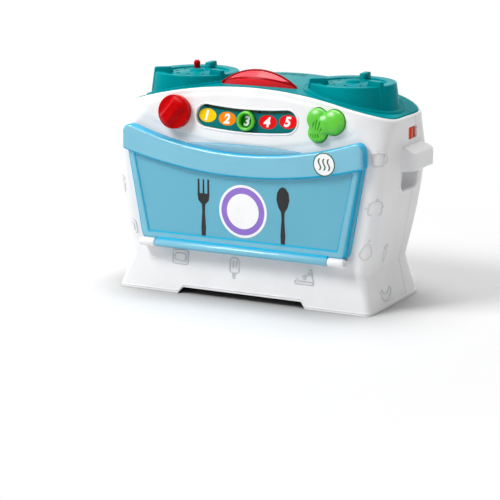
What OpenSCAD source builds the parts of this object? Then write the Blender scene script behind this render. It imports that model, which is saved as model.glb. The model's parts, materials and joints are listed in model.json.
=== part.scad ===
// Toy oven for a table top: a white two-part casing, a teal top with two
// burners, a clear drop-down door, a sloped control panel and lifting grips.
// Millimetres, +Z up, the front faces -Y. The origin is on the table under the
// middle of the oven, and the oven is the same left and right of X = 0 apart
// from its controls.

/* [Casing] */
// Widest width of the casing, at its belly
body_w = 333; // [315:1:350]
// Width at the waist, just above the foot
waist_w = 297; // [285:1:305]
// Width of the foot on the table
foot_w = 318; // [308:1:330]
// Height of the waist
waist_z = 42; // [36:1:48]
// Height of the belly, where the control panel starts to lean back
belly_z = 165; // [160:1:172]
// Height of the casing's crown, in the middle of the top
crown_z = 238; // [234:1:244]
// Radius of the arch of the top
arch_r = 495; // [450:5:600]
// How far the casing draws in between its belly and the level of its crown
shoulder = 34; // [28:1:40]
// Distance of the upright front wall from the middle
front_y = 62.8; // [60:0.2:66]
// Distance of the back's fullest point from the middle
back_y = 78.5; // [74:0.5:84]
// How far the back draws in at the waist
back_tuck = 10.5; // [6:0.5:12]
// How far the foot runs out in front of the front wall
foot_run = 11.2; // [8:0.2:13]
// Lean of the control panel, degrees
panel_lean = 8; // [6:0.5:10]
// Plan radius of the front corners
front_corner = 14; // [10:1:18]
// Plan radius of the back corners
back_corner = 30; // [24:1:34]
// Wall of the casing
wall = 2.6; // [2:0.1:3]
// Distance of the seam between the two casing parts behind the middle
seam_y = 27.5; // [26:0.5:29]
// Width of the gap between the feet, along its top
notch_w = 150; // [120:2:170]
// Height of the gap between the feet
notch_h = 7.3; // [5:0.1:8]

/* [Oven] */
// Half width of the oven opening, at its top
mouth_top = 137; // [133:0.5:138]
// Half width of the oven opening, at its bottom
mouth_bottom = 122.5; // [118:0.5:124]
// Height of the oven floor
floor_z = 66; // [65:0.5:68]
// Depth of the oven, from the front wall
oven_depth = 104; // [90:1:110]
// Wall of the oven's inner box
liner_t = 2; // [1.6:0.1:2.4]

/* [Door] */
// Height of the door's hinge line
hinge_z = 56.5; // [55:0.5:58]
// Distance of the hinge line in front of the middle
hinge_y = 73.5; // [73:0.1:74.5]
// Diameter of the hinge barrel
barrel_d = 9; // [8.4:0.1:9.6]
// Length of the hinge barrel
barrel_w = 217.6; // [210:0.2:220]
// Diameter of the hinge pins
pin_d = 4; // [3.4:0.1:4.6]
// Half width of the grip band
band_half = 151; // [148:0.5:152]
// Height of the door's top edge, in the middle
door_mid_z = 166.5; // [164:0.5:168]
// Radius of the door's hollow top edge
door_edge_r = 426; // [400:2:460]
// Height of the grip band's lower edge, in the middle
band_mid_z = 142.5; // [138:0.5:146]
// Radius of the grip band's lower edge
band_edge_r = 543; // [500:1:600]
// Half width of the door's panel, at its bottom
panel_bottom = 132; // [131:0.5:134]
// Half width of the door's panel, at the top
panel_top = 146; // [144:0.5:148]
// Depth of the grip band, front to back
band_depth = 12.7; // [11:0.1:13]
// Depth of the door's panel, front to back
panel_depth = 8.9; // [8:0.1:9.5]
// Wall of the door's moulding
door_t = 2.2; // [1.8:0.1:2.6]
// Height of the finger tab's top
tab_top_z = 176; // [172:0.5:178]

/* [Controls] */
// Height of the row of numbers, at its lowest
number_z = 202; // [200:0.5:204]
// Radius of the row of numbers
number_r = 470; // [440:5:500]
// Distance between two numbers
number_pitch = 25.3; // [24:0.1:26]
// Height of the number slot
slot_h = 24; // [22:0.2:26]
// Outer diameter of the sliding ring
ring_d = 22; // [20:0.2:22]
// Diameter of the timer knob
knob_d = 38.4; // [34:0.2:42]
// Distance of the timer knob from the middle
knob_x = 88; // [86:0.5:90]
// Angle of the timer knob's grip, from upright
knob_rest = 38; // [0:1:60]
// Diameter of the knob's spindle
spindle_d = 6; // [5:0.1:7]
// Distance of the green button from the middle
button_x = 100; // [98:0.5:102]
// Radius of a lobe of the green button
lobe_r = 12.5; // [11.5:0.1:13]
// Travel of the green button
button_travel = 2.5; // [1.5:0.1:3]
// Height of the power switch window's middle
switch_z = 190.5; // [188:0.5:191]
// Width of the power switch window
switch_w = 22; // [20:0.5:24]

/* [Top] */
// Thickness of the teal cover
cover_t = 3; // [2.4:0.1:3.4]
// Distance of each burner from the middle
burner_x = 99; // [96:0.5:100]
// Distance of the burners behind the middle
burner_y = 8; // [6:0.5:10]
// Radius of a burner at its top
burner_r = 48.6; // [46:0.2:50]
// Height of a burner's rim
burner_z = 244; // [243:0.5:248]
// Height of the pan ribs above the rim
rib_h = 5; // [3:0.5:6]
// Diameter of the pan pin
pan_pin_d = 7.5; // [6.5:0.1:8]
// Travel of the pan pin
pan_pin_travel = 7; // [5:0.5:8]
// Half width of the red lens
lens_half = 47.4; // [44:0.2:50]
// Height of the red lens above its tips
lens_rise = 17; // [14:0.5:20]
// Depth of the red lens, front to back
lens_deep = 12; // [10:0.5:14]

/* [Grips] */
// How far a grip stands out from the belly
grip_out = 16.5; // [14:0.5:20]
// Length of a grip, front to back
grip_w = 51; // [47:1:55]
// Height of a grip's top
grip_z = 174; // [172:0.5:176]
// Height of the finger pocket below the grip
pocket_h = 23; // [20:0.5:24]

/* [Hidden] */
$fn = 48;

// Clearances
slip = 0.3;      // between a moving piece and what it passes
fit = 0.05;      // radial, between a shaft and its bore
press = 0.02;    // radial, between a pin and the boss that holds it
eps = 0.01;
reach = 2 * body_w;   // longer than the oven in any direction

// Levels and depths that follow from the sizes above
lens_z = crown_z + 0.5;
panel_raise = 1.2;
panel_back = panel_raise + wall;
plate_t = 1.6;
board_t = 1.6;
ceiling_z = belly_z - liner_t;
roof_t = cover_t + wall;
ledge_w = 4;
cover_rim = 3;
door_back = front_y + 0.5;
seat_z = notch_h + 1.2;
base_t = 3;
base_top = seat_z + base_t;

white = [0.93, 0.93, 0.94];
teal = [0.02, 0.55, 0.56];
blue = [0.35, 0.75, 0.88, 0.6];
red = [0.85, 0.05, 0.08];
green = [0.25, 0.75, 0.12];
steel = [0.75, 0.76, 0.78];
board_green = [0.1, 0.4, 0.2];

// Casing form: half width, front and back at each height

function half_w(z) =
    z < waist_z ? foot_w / 2 + (waist_w - foot_w) / 2 * z / waist_z
    : z < belly_z ? body_w / 2 - (body_w - waist_w) / 2
        * pow((belly_z - z) / (belly_z - waist_z), 1.5)
    : body_w / 2 - shoulder * pow((z - belly_z) / (crown_z - belly_z), 3);

function front(z) =
    z < hinge_z ? -front_y - foot_run * pow((hinge_z - z) / hinge_z, 1.6)
    : z < belly_z ? -front_y
    : -front_y + (z - belly_z) * tan(panel_lean);

function back(z) =
    z < waist_z ? back_y - back_tuck + 0.8 * back_tuck * (waist_z - z) / waist_z
    : z < belly_z ? back_y - back_tuck
        * pow((belly_z - z) / (belly_z - waist_z), 1.3)
    : back_y - 8 * pow((z - belly_z) / (crown_z - belly_z), 2);

// Height of the arched top at a distance from the middle
function arch_z(x) = crown_z - arch_r + sqrt(arch_r * arch_r - x * x);

function corner(cx, cy, r, from, n) =
    [for (i = [0 : n]) [cx + r * cos(from + 90 * i / n), cy + r * sin(from + 90 * i / n)]];

// Outline of the casing at a height, drawn in by an inset
function casing_ring(z, inset) =
    let (w = half_w(z) - inset, f = front(z) + inset, b = back(z) - inset,
         rf = front_corner - inset, rb = back_corner - inset)
    concat(
        corner(w - rb, b - rb, rb, 0, 6),
        corner(-w + rb, b - rb, rb, 90, 6),
        corner(-w + rf, f + rf, rf, 180, 4),
        corner(w - rf, f + rf, rf, 270, 4));

function casing_levels(bottom) = concat(
    [bottom],
    [for (i = [1 : 4]) waist_z * i / 4],
    [for (i = [1 : 5]) waist_z + (belly_z - waist_z) * i / 5],
    [for (i = [1 : 7]) belly_z + (crown_z + 4 - belly_z) * i / 7]);

// Solid through a stack of rings of equal length, one ring per level
module loft(rings, levels) {
    n = len(rings[0]);
    last = len(rings) - 1;
    points = [for (k = [0 : last]) for (p = rings[k]) [p.x, p.y, levels[k]]];
    sides = [for (k = [0 : last - 1]) for (i = [0 : n - 1])
        let (a = k * n + i, b = k * n + (i + 1) % n)
        for (t = [[a, a + n, b], [b, a + n, b + n]]) t];
    bottom = [for (i = [0 : n - 1]) i];
    top = [for (i = [n - 1 : -1 : 0]) last * n + i];
    polyhedron(points = points, faces = concat(sides, [bottom, top]));
}

module casing_form(inset, bottom) {
    levels = casing_levels(bottom);
    loft([for (z = levels) casing_ring(z, inset)], levels);
}

// Everything below the arched top, lowered by a drop
module under_arch(drop) {
    translate([0, 0, crown_z - arch_r])
        rotate([90, 0, 0])
            cylinder(r = arch_r - drop, h = reach, center = true, $fn = 360);
}

module casing_outer() {
    intersection() {
        casing_form(0, 0);
        under_arch(0);
    }
}

module casing_inner() {
    intersection() {
        casing_form(wall, -1);
        under_arch(roof_t);
    }
}

// Outline tools

function unit(v) = v / norm(v);

function fillet(a, b, c, r, n) =
    let (u = unit(a - b), v = unit(c - b), half = acos(u * v) / 2,
         o = b + unit(u + v) * r / sin(half),
         p = b + u * r / tan(half), q = b + v * r / tan(half),
         from = atan2(p.y - o.y, p.x - o.x), to = atan2(q.y - o.y, q.x - o.x),
         turn = (to - from + 540) % 360 - 180)
    [for (i = [0 : n]) o + r * [cos(from + turn * i / n), sin(from + turn * i / n)]];

// Corners of an outline, each rounded to its own radius
function rounded(pts, radii, n = 5) =
    let (m = len(pts))
    [for (i = [0 : m - 1])
        for (p = radii[i] > 0
            ? fillet(pts[(i + m - 1) % m], pts[i], pts[(i + 1) % m], radii[i], n)
            : [pts[i]]) p];

function box_outline(x0, y0, x1, y1, r) =
    rounded([[x0, y0], [x1, y0], [x1, y1], [x0, y1]], [r, r, r, r]);

// Slab with its outline in XZ, from y0 to y1
module upright(y0, y1, outline) {
    translate([0, y1, 0]) rotate([90, 0, 0]) linear_extrude(y1 - y0) polygon(outline);
}

// Rod along X
module rod_x(r, x0, x1) {
    translate([x0, 0, 0]) rotate([0, 90, 0]) cylinder(r = r, h = x1 - x0);
}

// Rod along Y, from y0 towards +Y
module rod_y(r, y0, y1) {
    translate([0, y0, 0]) rotate([-90, 0, 0]) cylinder(r = r, h = y1 - y0);
}

module both_sides() {
    children();
    mirror([1, 0, 0]) children();
}

// Curve that sags to mid_z in the middle
function smile(x, mid_z, r) = mid_z + r - sqrt(r * r - x * x);

// Points along such a curve, from -half to half
function smile_points(half, mid_z, r, n = 12) =
    [for (i = [0 : n]) let (x = -half + 2 * half * i / n) [x, smile(x, mid_z, r)]];

function backwards(list) = [for (i = [len(list) - 1 : -1 : 0]) list[i]];

// Panel with straight leaning sides and a sagging top edge
function sag_panel(bottom_half, z0, top_half, mid_z, r, low_corner, high_corner) =
    let (top = backwards(smile_points(top_half, mid_z, r)), m = len(top))
    rounded(concat([[-bottom_half, z0], [bottom_half, z0]], top),
            concat([low_corner, low_corner, high_corner],
                   [for (i = [1 : m - 2]) 0], [high_corner]));

// Frame of the control panel: X along the row, -Y out of it, Z up along it

module on_panel() {
    translate([0, front(number_z) - panel_raise, number_z])
        rotate([-panel_lean, 0, 0]) children();
}

// Bar bent to the row of numbers, with round ends, from depth y0 to y1
module number_bar(h, y0, y1, half) {
    span = half < 0 ? 2 * number_pitch : half;
    end = asin(span / number_r);
    intersection() {
        translate([0, 0, number_r]) difference() {
            rod_y(number_r + h / 2, y0, y1, $fn = 200);
            rod_y(number_r - h / 2, y0 - 1, y1 + 1, $fn = 200);
        }
        translate([-span, y0 - 1, -h]) cube([2 * span, y1 - y0 + 2, 3 * h]);
    }
    for (s = [-1, 1])
        translate([s * span, 0, number_r * (1 - cos(end))]) rod_y(h / 2, y0, y1);
}

// Three-lobed outline of the green button, grown by a margin
button_up = 4;
lobe_a = [-12.4, 6.5];
lobe_b = [13, 4];
stalk = [-7.5, -9];
stalk_r = lobe_r - 1;
button_post = [25, -11];
button_board_y = 10.6;
slider_post = [66, -10];
slider_board_y = 9.8;

module button_form(y0, y1, grow) {
    translate([button_x, 0, button_up]) {
        translate([lobe_a.x, 0, lobe_a.y]) rod_y(lobe_r + grow, y0, y1);
        translate([lobe_b.x, 0, lobe_b.y]) rod_y(lobe_r + grow, y0, y1);
        translate([stalk.x, 0, stalk.y]) rod_y(stalk_r + grow, y0, y1);
        upright(y0, y1, [stalk, lobe_b, lobe_a]);
    }
}

// Oven mouth, an outline in XZ
mouth_gap = 2;
liner_room = 1.3;   // how much wider the oven is than its mouth, at each side
function mouth_outline() =
    sag_panel(mouth_bottom, floor_z, mouth_top, band_mid_z + mouth_gap, band_edge_r, 6, 5);

// Screws that join the two casing parts: place at the side, height
top_screw_x = half_w(crown_z - 33) - 10;
shell_screw_at = [
    [half_w(waist_z * 0.6) - 8.5, waist_z * 0.6],
    [half_w(floor_z + 10) - 10, floor_z + 10],
    [top_screw_x, arch_z(top_screw_x) - roof_t - 4]
];
post_r = 4.5;
base_post = [118, front_y - 8, back_y - back_tuck - 14];

// Post with a web that ties it to the side wall, along Y
module side_post(p, y0, y1) {
    translate([p.x, 0, p.y]) rod_y(post_r, y0, y1);
    translate([p.x, y0, p.y - 1]) cube([12, y1 - y0, 2]);
}

// Opening in each side for a grip and its finger pocket
grip_y = 16.5;
grip_low = grip_z - 24;
pocket_low = grip_low - pocket_h;
pocket_t = 1.6;
grip_back = mouth_top + liner_room + liner_t + 0.7;
module handle_cut(grow) {
    outline = box_outline(-grip_w / 2 - grow, pocket_low - pocket_t - grow,
                          grip_w / 2 + grow, grip_z + grow, 9);
    translate([grip_back, grip_y, 0]) rotate([90, 0, 90]) linear_extrude(reach) polygon(outline);
}

// Window of the power switch, through the side wall
switch_y = seam_y - 7.5;
switch_h = 13.4;
switch_body_h = switch_h + 3;
module switch_cut(x0, x1) {
    outline = box_outline(-switch_w / 2, -switch_h / 2, switch_w / 2, switch_h / 2, 2);
    translate([x0, switch_y, switch_z]) rotate([90, 0, 90])
        linear_extrude(x1 - x0) polygon(outline);
}

cover_half = half_w(crown_z - 25) - cover_rim;
cover_front = front(crown_z) + cover_rim;
cover_back = back(crown_z) - cover_rim;

function cover_outline(grow) =
    let (x = cover_half + grow, y0 = cover_front - grow, y1 = cover_back + grow)
    rounded([[-x, y0], [x, y0], [x, y1], [-x, y1]],
            [front_corner, front_corner, back_corner - 4, back_corner - 4], 8);

// Recess of the casing's top that the cover drops into, with a ledge under it
module cover_seat() {
    difference() {
        translate([0, 0, belly_z + 20]) linear_extrude(80) polygon(cover_outline(slip));
        under_arch(cover_t);
    }
    translate([0, 0, belly_z + 20]) linear_extrude(80) polygon(cover_outline(-ledge_w));
}

// Feet: the gap between them, front and back
module foot_gap() {
    run = 6;
    upright(-reach, reach, [[-notch_w / 2 - run, -1], [notch_w / 2 + run, -1],
        [notch_w / 2, notch_h], [-notch_w / 2, notch_h]]);
}

// Cover screws: bosses under the cover's corners meet ears on the casing
ear = [cover_half - 14, cover_front + 14, cover_back - 15];
ear_drop = 8;
ear_z = arch_z(ear.x) - ear_drop;

module cover_ear(y) {
    translate([ear.x, y, ear_z - 3]) {
        cylinder(r = 5, h = 3);
        translate([0, -5, 0]) cube([half_w(ear_z) - ear.x - 1, 10, 3]);
    }
}

module shell_common(is_front) {
    difference() {
        intersection() {
            difference() {
                casing_outer();
                casing_inner();
            }
            translate([-reach / 2, is_front ? seam_y - reach : seam_y, -5])
                cube([reach, reach, reach]);
        }
        cover_seat();
        both_sides() handle_cut(0);
        foot_gap();
        switch_cut(body_w / 2 - 12, body_w / 2 + 5);
    }
}

// Raised panel: reach and radius of its upper and its lower edge
relief_high = 30;
relief_high_r = 481;
relief_low = 28;
relief_low_r = 348;

// Boss that holds one end of the hinge pin, with its bracket
boss_gap = 0.5;
boss_w = 19.4;
boss_r = barrel_d / 2 + 0.5;
module hinge_boss() {
    x0 = barrel_w / 2 + boss_gap;
    translate([0, -hinge_y, hinge_z]) rod_x(boss_r, x0, x0 + boss_w);
    translate([x0, -hinge_y, hinge_z - boss_r])
        cube([boss_w, hinge_y - front_y + 1, boss_r + 1.5]);
}

module front_shell() {
    color(white) difference() {
        union() {
            shell_common(true);
            both_sides() hinge_boss();
            on_panel() {
                // Lens-shaped raised panel
                intersection() {
                    translate([0, 0, relief_high - relief_high_r])
                        rod_y(relief_high_r, 0, panel_raise + 1, $fn = 200);
                    translate([0, 0, relief_low_r - relief_low])
                        rod_y(relief_low_r, 0, panel_raise + 1, $fn = 200);
                }
                // Rim round the number slot
                number_bar(slot_h + 5, -1, 1, -1);
                // Posts for the slider's board and the button's board
                for (x = [-1, 1]) translate([x * slider_post.x, 0, slider_post.y])
                    rod_y(2.6, panel_raise, slider_board_y);
                for (x = [-1, 1])
                    translate([button_x + x * button_post.x, 0, button_up + button_post.y])
                        rod_y(2.6, panel_raise, button_board_y);
            }
            intersection() {
                casing_outer();
                union() {
                    both_sides() for (p = shell_screw_at) side_post(p, 4, seam_y);
                    both_sides() translate([base_post.x, -base_post.y, base_top])
                        cylinder(r = 4, h = 14);
                    both_sides() translate([base_post.x - 1, -base_post.y - 12, base_top])
                        cube([2, 12, 14]);
                    both_sides() cover_ear(ear.y);
                    // Ribs that carry the power switch
                    for (z = [switch_z - switch_body_h / 2 - 2, switch_z + switch_body_h / 2])
                        translate([body_w / 2 - 18, switch_y - 9, z]) cube([17, 16, 2]);
                }
            }
        }
        upright(-front_y - 20, -front_y + 8, mouth_outline());
        on_panel() {
            number_bar(slot_h, -5, panel_back + 1, -1);
            translate([-knob_x, 0, button_up]) rod_y(spindle_d / 2 + 0.8, -3, panel_back + 2);
            button_form(-3, flange_y + flange_t + button_travel, slip + 0.1);
        }
        both_sides() translate([0, -hinge_y, hinge_z])
            rod_x(pin_d / 2 + press, barrel_w / 2 - 2, barrel_w / 2 + 40);
        both_sides() for (p = shell_screw_at)
            translate([p.x, 0, p.y]) rod_y(1.3, seam_y - 14, seam_y + 1);
        both_sides() translate([base_post.x, -base_post.y, base_top - 1])
            cylinder(r = 1.3, h = 13);
        both_sides() translate([ear.x, ear.y, ear_z - 5]) cylinder(r = 1.8, h = 8);
    }
}

module rear_shell() {
    color(white) difference() {
        union() {
            shell_common(false);
            intersection() {
                casing_outer();
                union() {
                    both_sides() for (p = shell_screw_at) side_post(p, seam_y, 100);
                    both_sides() translate([base_post.x, base_post.z, base_top])
                        cylinder(r = 4, h = 14);
                    both_sides() translate([base_post.x - 1, base_post.z, base_top])
                        cube([2, 16, 14]);
                    both_sides() cover_ear(ear.z);
                }
            }
        }
        both_sides() for (p = shell_screw_at) translate([p.x, 0, p.y]) {
            rod_y(3.4, seam_y + 6, 100);
            rod_y(1.8, seam_y - 1, 100);
        }
        both_sides() translate([base_post.x, base_post.z, base_top - 1])
            cylinder(r = 1.3, h = 13);
        both_sides() translate([ear.x, ear.z, ear_z - 5]) cylinder(r = 1.8, h = 8);
    }
}

// Battery bay: three AA cells side by side, along Y
cell_d = 14.2;
cell_l = 50;
cell_pitch = cell_d + 0.6;
contact_t = 0.5;
bay_spring = 7;
bay_w = 3 * cell_pitch + 4;
bay_l = cell_l + bay_spring + 2 * contact_t;
bay_y = -4;
bay_t = 1.6;
cell_z = base_top + cell_d / 2;
screw_tab = 12;
bay_screw_y = bay_y + bay_l / 2 + screw_tab / 2 + 1;
hook_w = 10;
hook_t = 1.2;

module bay_outline(grow) {
    polygon(box_outline(-bay_w / 2 - grow, bay_y - bay_l / 2 - grow,
                        bay_w / 2 + grow, bay_y + bay_l / 2 + screw_tab + grow, 3));
}

module base_plate() {
    color(white) difference() {
        translate([0, 0, seat_z]) linear_extrude(base_t)
            polygon(casing_ring(base_top, wall + slip));
        translate([0, 0, seat_z - 1]) linear_extrude(base_t + 2) bay_outline(slip);
        both_sides() for (y = [-base_post.y, base_post.z])
            translate([base_post.x, y, 0]) screw_hole();
    }
}

module battery_box() {
    color([0.85, 0.85, 0.86]) difference() {
        union() {
            translate([0, 0, base_top]) linear_extrude(cell_d + 1.2 + bay_t)
                bay_outline(bay_t);
            translate([0, 0, base_top]) linear_extrude(2) bay_outline(5);
        }
        // Three cell troughs, open below
        translate([-bay_w / 2, bay_y - bay_l / 2, base_top - 1])
            cube([bay_w, bay_l, cell_d + 2.2]);
        translate([0, bay_screw_y, base_top - 1]) cylinder(r = 1.3, h = 12);
        // Notches that the cover's hooks slide into
        for (i = [-1, 1])
            translate([i * cell_pitch - hook_w / 2 - slip, bay_y - bay_l / 2 - 9, base_top - 1])
                cube([hook_w + 2 * slip, 10, hook_t + 1 + slip]);
    }
}

module battery_contacts() {
    color(steel) {
        for (i = [-1, 0, 1]) for (s = [-1, 1])
            translate([i * cell_pitch - 5, bay_y + s * (bay_l - contact_t) / 2 - contact_t / 2,
                       cell_z - 5]) cube([10, contact_t, 10]);
        for (i = [-1, 0, 1]) let (s = i == 0 ? 1 : -1)
            translate([i * cell_pitch, bay_y + s * (bay_l / 2 - contact_t + 0.05), cell_z])
                rotate([s * 90, 0, 0]) coil(3.6, 0.35, bay_spring, 4, 8);
    }
}

module cell() {
    rod_y(cell_d / 2, -cell_l / 2, cell_l / 2 - 1.2);
    rod_y(2.7, cell_l / 2 - 2, cell_l / 2);
}

module batteries() {
    color([0.2, 0.2, 0.22])
        for (i = [-1, 0, 1]) translate([i * cell_pitch, bay_y, cell_z])
            rotate([0, 0, i == 0 ? 180 : 0]) translate([0, bay_spring / 2, 0]) cell();
}

module battery_cover() {
    hook_y = bay_y - bay_l / 2;
    color(white) difference() {
        union() {
            translate([0, 0, seat_z]) linear_extrude(base_t) bay_outline(0);
            for (i = [-1, 1]) {
                translate([i * cell_pitch - hook_w / 2, hook_y + 0.5, seat_z])
                    cube([hook_w, 2.5, base_t + hook_t]);
                translate([i * cell_pitch - hook_w / 2, hook_y - 3, base_top])
                    cube([hook_w, 6, hook_t]);
            }
        }
        translate([0, bay_screw_y, 0]) screw_hole();
        // Grip dimples
        for (i = [-1, 1]) translate([i * 8, hook_y + 10, seat_z - 1])
            cylinder(r = 2.2, h = 1.8);
    }
}

// Pan-head screw along +Z, head at the bottom, with a cross recess
head_t = 1.6;
module screw(shank, head_r = 2.9, r = 1.25) {
    difference() {
        union() {
            cylinder(r = head_r, h = head_t);
            translate([0, 0, head_t - 0.4]) cylinder(r = r, h = shank);
        }
        for (a = [0, 90]) rotate([0, 0, a]) translate([-1.7, -0.35, -0.2]) cube([3.4, 0.7, 1]);
    }
}

// Hole and counterbore for a screw that comes in from below
module screw_hole() {
    translate([0, 0, seat_z - 1]) {
        cylinder(r = 1.8, h = 8);
        cylinder(r = 3.2, h = 1 + head_t);
    }
}

module battery_screw() {
    color(steel) translate([0, bay_screw_y, seat_z]) screw(9);
}

module base_screws() {
    color(steel) both_sides() for (y = [-base_post.y, base_post.z])
        translate([base_post.x, y, seat_z]) screw(9);
}

module shell_screws() {
    color(steel) both_sides() for (p = shell_screw_at)
        translate([p.x, seam_y + 6 + head_t, p.y]) rotate([90, 0, 0]) screw(16);
}

module cooktop_screws() {
    color(steel) both_sides() for (y = [ear.y, ear.z])
        translate([ear.x, y, ear_z - 3 - head_t]) screw(8);
}

// Oven box: a tapered trough with rounded corners, open at the front
module liner_form(grow, y0, y1) {
    top = mouth_top + liner_room + grow;
    bottom = mouth_bottom + liner_room + grow;
    r = 4 + grow;
    upright(y0, y1, rounded(
        [[-bottom, floor_z - grow], [bottom, floor_z - grow],
         [top, ceiling_z + grow], [-top, ceiling_z + grow]], [r, r, r, r]));
}

// Holes and posts of the main board: half their spacing across, front, back
board_post = [52, -2, 34];
board_edge = 6;
board_at = [for (x = [-1, 1]) for (y = [board_post.y, board_post.z]) [x * board_post.x, y]];
board_z = ceiling_z + liner_t + 4;

module oven_liner() {
    y0 = -front_y + wall;
    color([0.87, 0.88, 0.9]) difference() {
        union() {
            liner_form(liner_t, y0, y0 + oven_depth + liner_t);
            // Posts for the main board
            for (p = board_at) translate([p.x, p.y, ceiling_z + 1])
                cylinder(r = 3, h = board_z - ceiling_z - 1);
        }
        difference() {
            liner_form(0, y0 - 1, y0 + oven_depth);
            // Runners that steady a tray
            both_sides() translate([mouth_bottom - 24, y0 - 2, floor_z - 1])
                cube([3, oven_depth - 9, 1.8]);
        }
        for (p = board_at) translate([p.x, p.y, ceiling_z + liner_t + 0.5])
            cylinder(r = 1.2, h = 8);
    }
}

module main_board() {
    color(board_green) difference() {
        union() {
            translate([-board_post.x - board_edge, board_post.y - board_edge, board_z])
                cube([2 * (board_post.x + board_edge),
                      board_post.z - board_post.y + 2 * board_edge, board_t]);
            // Chips and connectors: place and size on the board
            for (c = [[-30, 6, 16, 16], [8, 10, 10, 8], [28, 20, 12, 7], [-6, 26, 8, 8]])
                translate([c[0], c[1], board_z + 1]) cube([c[2], c[3], 2.6]);
        }
        for (p = board_at) translate([p.x, p.y, ceiling_z]) cylinder(r = 1.5, h = 14);
    }
}

module board_screws() {
    color(steel) for (p = board_at) translate([p.x, p.y, board_z + board_t + head_t])
        rotate([180, 0, 0]) screw(5, 2.6, 1.15);
}

// Hinge

module hinge_pins() {
    color(steel) both_sides() translate([0, -hinge_y, hinge_z])
        rod_x(pin_d / 2, barrel_w / 2 - 12, barrel_w / 2 + boss_gap + boss_w - 1.5);
}

function band_outline(inset) =
    let (half = band_half - inset,
         low = smile_points(half, band_mid_z + inset, band_edge_r),
         high = backwards(smile_points(half, door_mid_z - inset, door_edge_r)),
         m = len(low) - 2)
    rounded(concat(low, high),
            concat([3], [for (i = [1 : m]) 0], [3], [9 - inset],
                   [for (i = [1 : m]) 0], [9 - inset]));

function panel_outline(inset, lift) =
    sag_panel(panel_bottom - inset, hinge_z + 3.5 + inset, panel_top - inset,
              band_mid_z + lift, band_edge_r, 6, 2);

function tab_outline(half, n = 12) =
    let (end = smile(half, door_mid_z, door_edge_r) - 1,
         top = [for (i = [0 : n]) let (x = half - 2 * half * i / n)
                [x, end + (tab_top_z - end) * (1 - pow(x / half, 2))]])
    concat(smile_points(half, door_mid_z - 2, door_edge_r), top);

module door() {
    band_front = -door_back - band_depth;
    panel_front = -door_back - panel_depth;
    rim_depth = 1.2;
    color(blue) difference() {
        union() {
            difference() {
                union() {
                    upright(band_front, -door_back, band_outline(0));
                    upright(panel_front, -door_back, panel_outline(0, 1));
                    upright(-door_back - 2.4, -door_back - 0.3, tab_outline(78));
                }
                upright(band_front + door_t, -door_back + 1, band_outline(door_t));
                upright(panel_front + rim_depth + door_t, -door_back + 1,
                        panel_outline(door_t, door_t + 0.3));
                upright(panel_front - 1, panel_front + rim_depth, panel_outline(6, -4));
            }
            // Barrel and the lip that carries it
            translate([0, -hinge_y, hinge_z]) rod_x(barrel_d / 2, -barrel_w / 2, barrel_w / 2);
            translate([-barrel_w / 2, -hinge_y, hinge_z + 1.5])
                cube([barrel_w, hinge_y - door_back - panel_depth + 2.4 + door_t, barrel_d / 2 + 1]);
        }
        both_sides() translate([0, -hinge_y, hinge_z]) {
            rod_x(boss_r + slip, barrel_w / 2, barrel_w / 2 + boss_w + 4);
            rod_x(pin_d / 2 + fit, barrel_w / 2 - 12.5, barrel_w / 2 + 1);
        }
    }
}

// Timer knob: a disc with a wedge grip, on a spindle

knob_gap = 1;
knob_t = 8;
knob_rise = 8;

module timer_knob() {
    r = knob_d / 2;
    y_face = -knob_gap - knob_t;
    color(red) on_panel() translate([-knob_x, 0, button_up]) {
        rod_y(r, y_face + 2, -knob_gap);
        translate([0, y_face + 2 + eps, 0]) rotate([90, 0, 0]) cylinder(r1 = r, r2 = r - 2, h = 2);
        rotate([0, knob_rest, 0]) intersection() {
            rod_y(r - 1, y_face - knob_rise, y_face + 1);
            translate([0, 0, -r]) linear_extrude(2 * r) polygon([
                [-9, y_face + 1], [9, y_face + 1], [3.2, y_face - knob_rise],
                [-3.2, y_face - knob_rise]]);
            translate([0, y_face + 34, 0]) rotate([0, 90, 0])
                cylinder(r = 34 + knob_rise, h = 60, center = true, $fn = 96);
        }
        rod_y(spindle_d / 2, -knob_gap - 1, panel_back + 7);
    }
}

module timer_encoder() {
    color([0.15, 0.15, 0.17]) on_panel() translate([-knob_x, 0, button_up]) difference() {
        union() {
            upright(panel_back, panel_back + 8, box_outline(-12, -12, 12, 12, 3));
            for (x = [-5, 0, 5]) translate([x - 0.6, panel_back + 3, -17]) cube([1.2, 0.6, 6]);
        }
        rod_y(spindle_d / 2 + fit, panel_back - 1, panel_back + 9);
    }
}

// Number row

slit = 2.6;
module number_plate() {
    color(teal) on_panel() difference() {
        number_bar(slot_h + 6, panel_back, panel_back + plate_t, -1);
        // Slit along the top edge that the ring's arm passes through
        translate([0, 0, slot_h / 2 - slit / 2 - 0.1])
            number_bar(slit, panel_back - 1, panel_back + plate_t + 1, 2 * number_pitch + 6);
    }
}

ring_out = 3;
arm_w = 6;
arm_t = 1.5;
arm_z = slot_h / 2 - slit + 0.5;
module number_slider() {
    color(green) on_panel() {
        difference() {
            union() {
                rod_y(ring_d / 2, -ring_out + 1, panel_back - 0.6);
                rotate([90, 0, 0]) translate([0, 0, ring_out - 1])
                    cylinder(r1 = ring_d / 2, r2 = ring_d / 2 - 1.2, h = 1);
            }
            rod_y(ring_d / 2 - 3.2, -ring_out - 1, panel_back);
        }
        // Arm through the slit
        translate([-arm_w / 2, panel_back - 2, arm_z]) cube([arm_w, plate_t + 4, arm_t]);
        translate([-arm_w / 2, panel_back - 2, ring_d / 2 - 2.4]) cube([arm_w, 1.4, 3]);
    }
}

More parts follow.
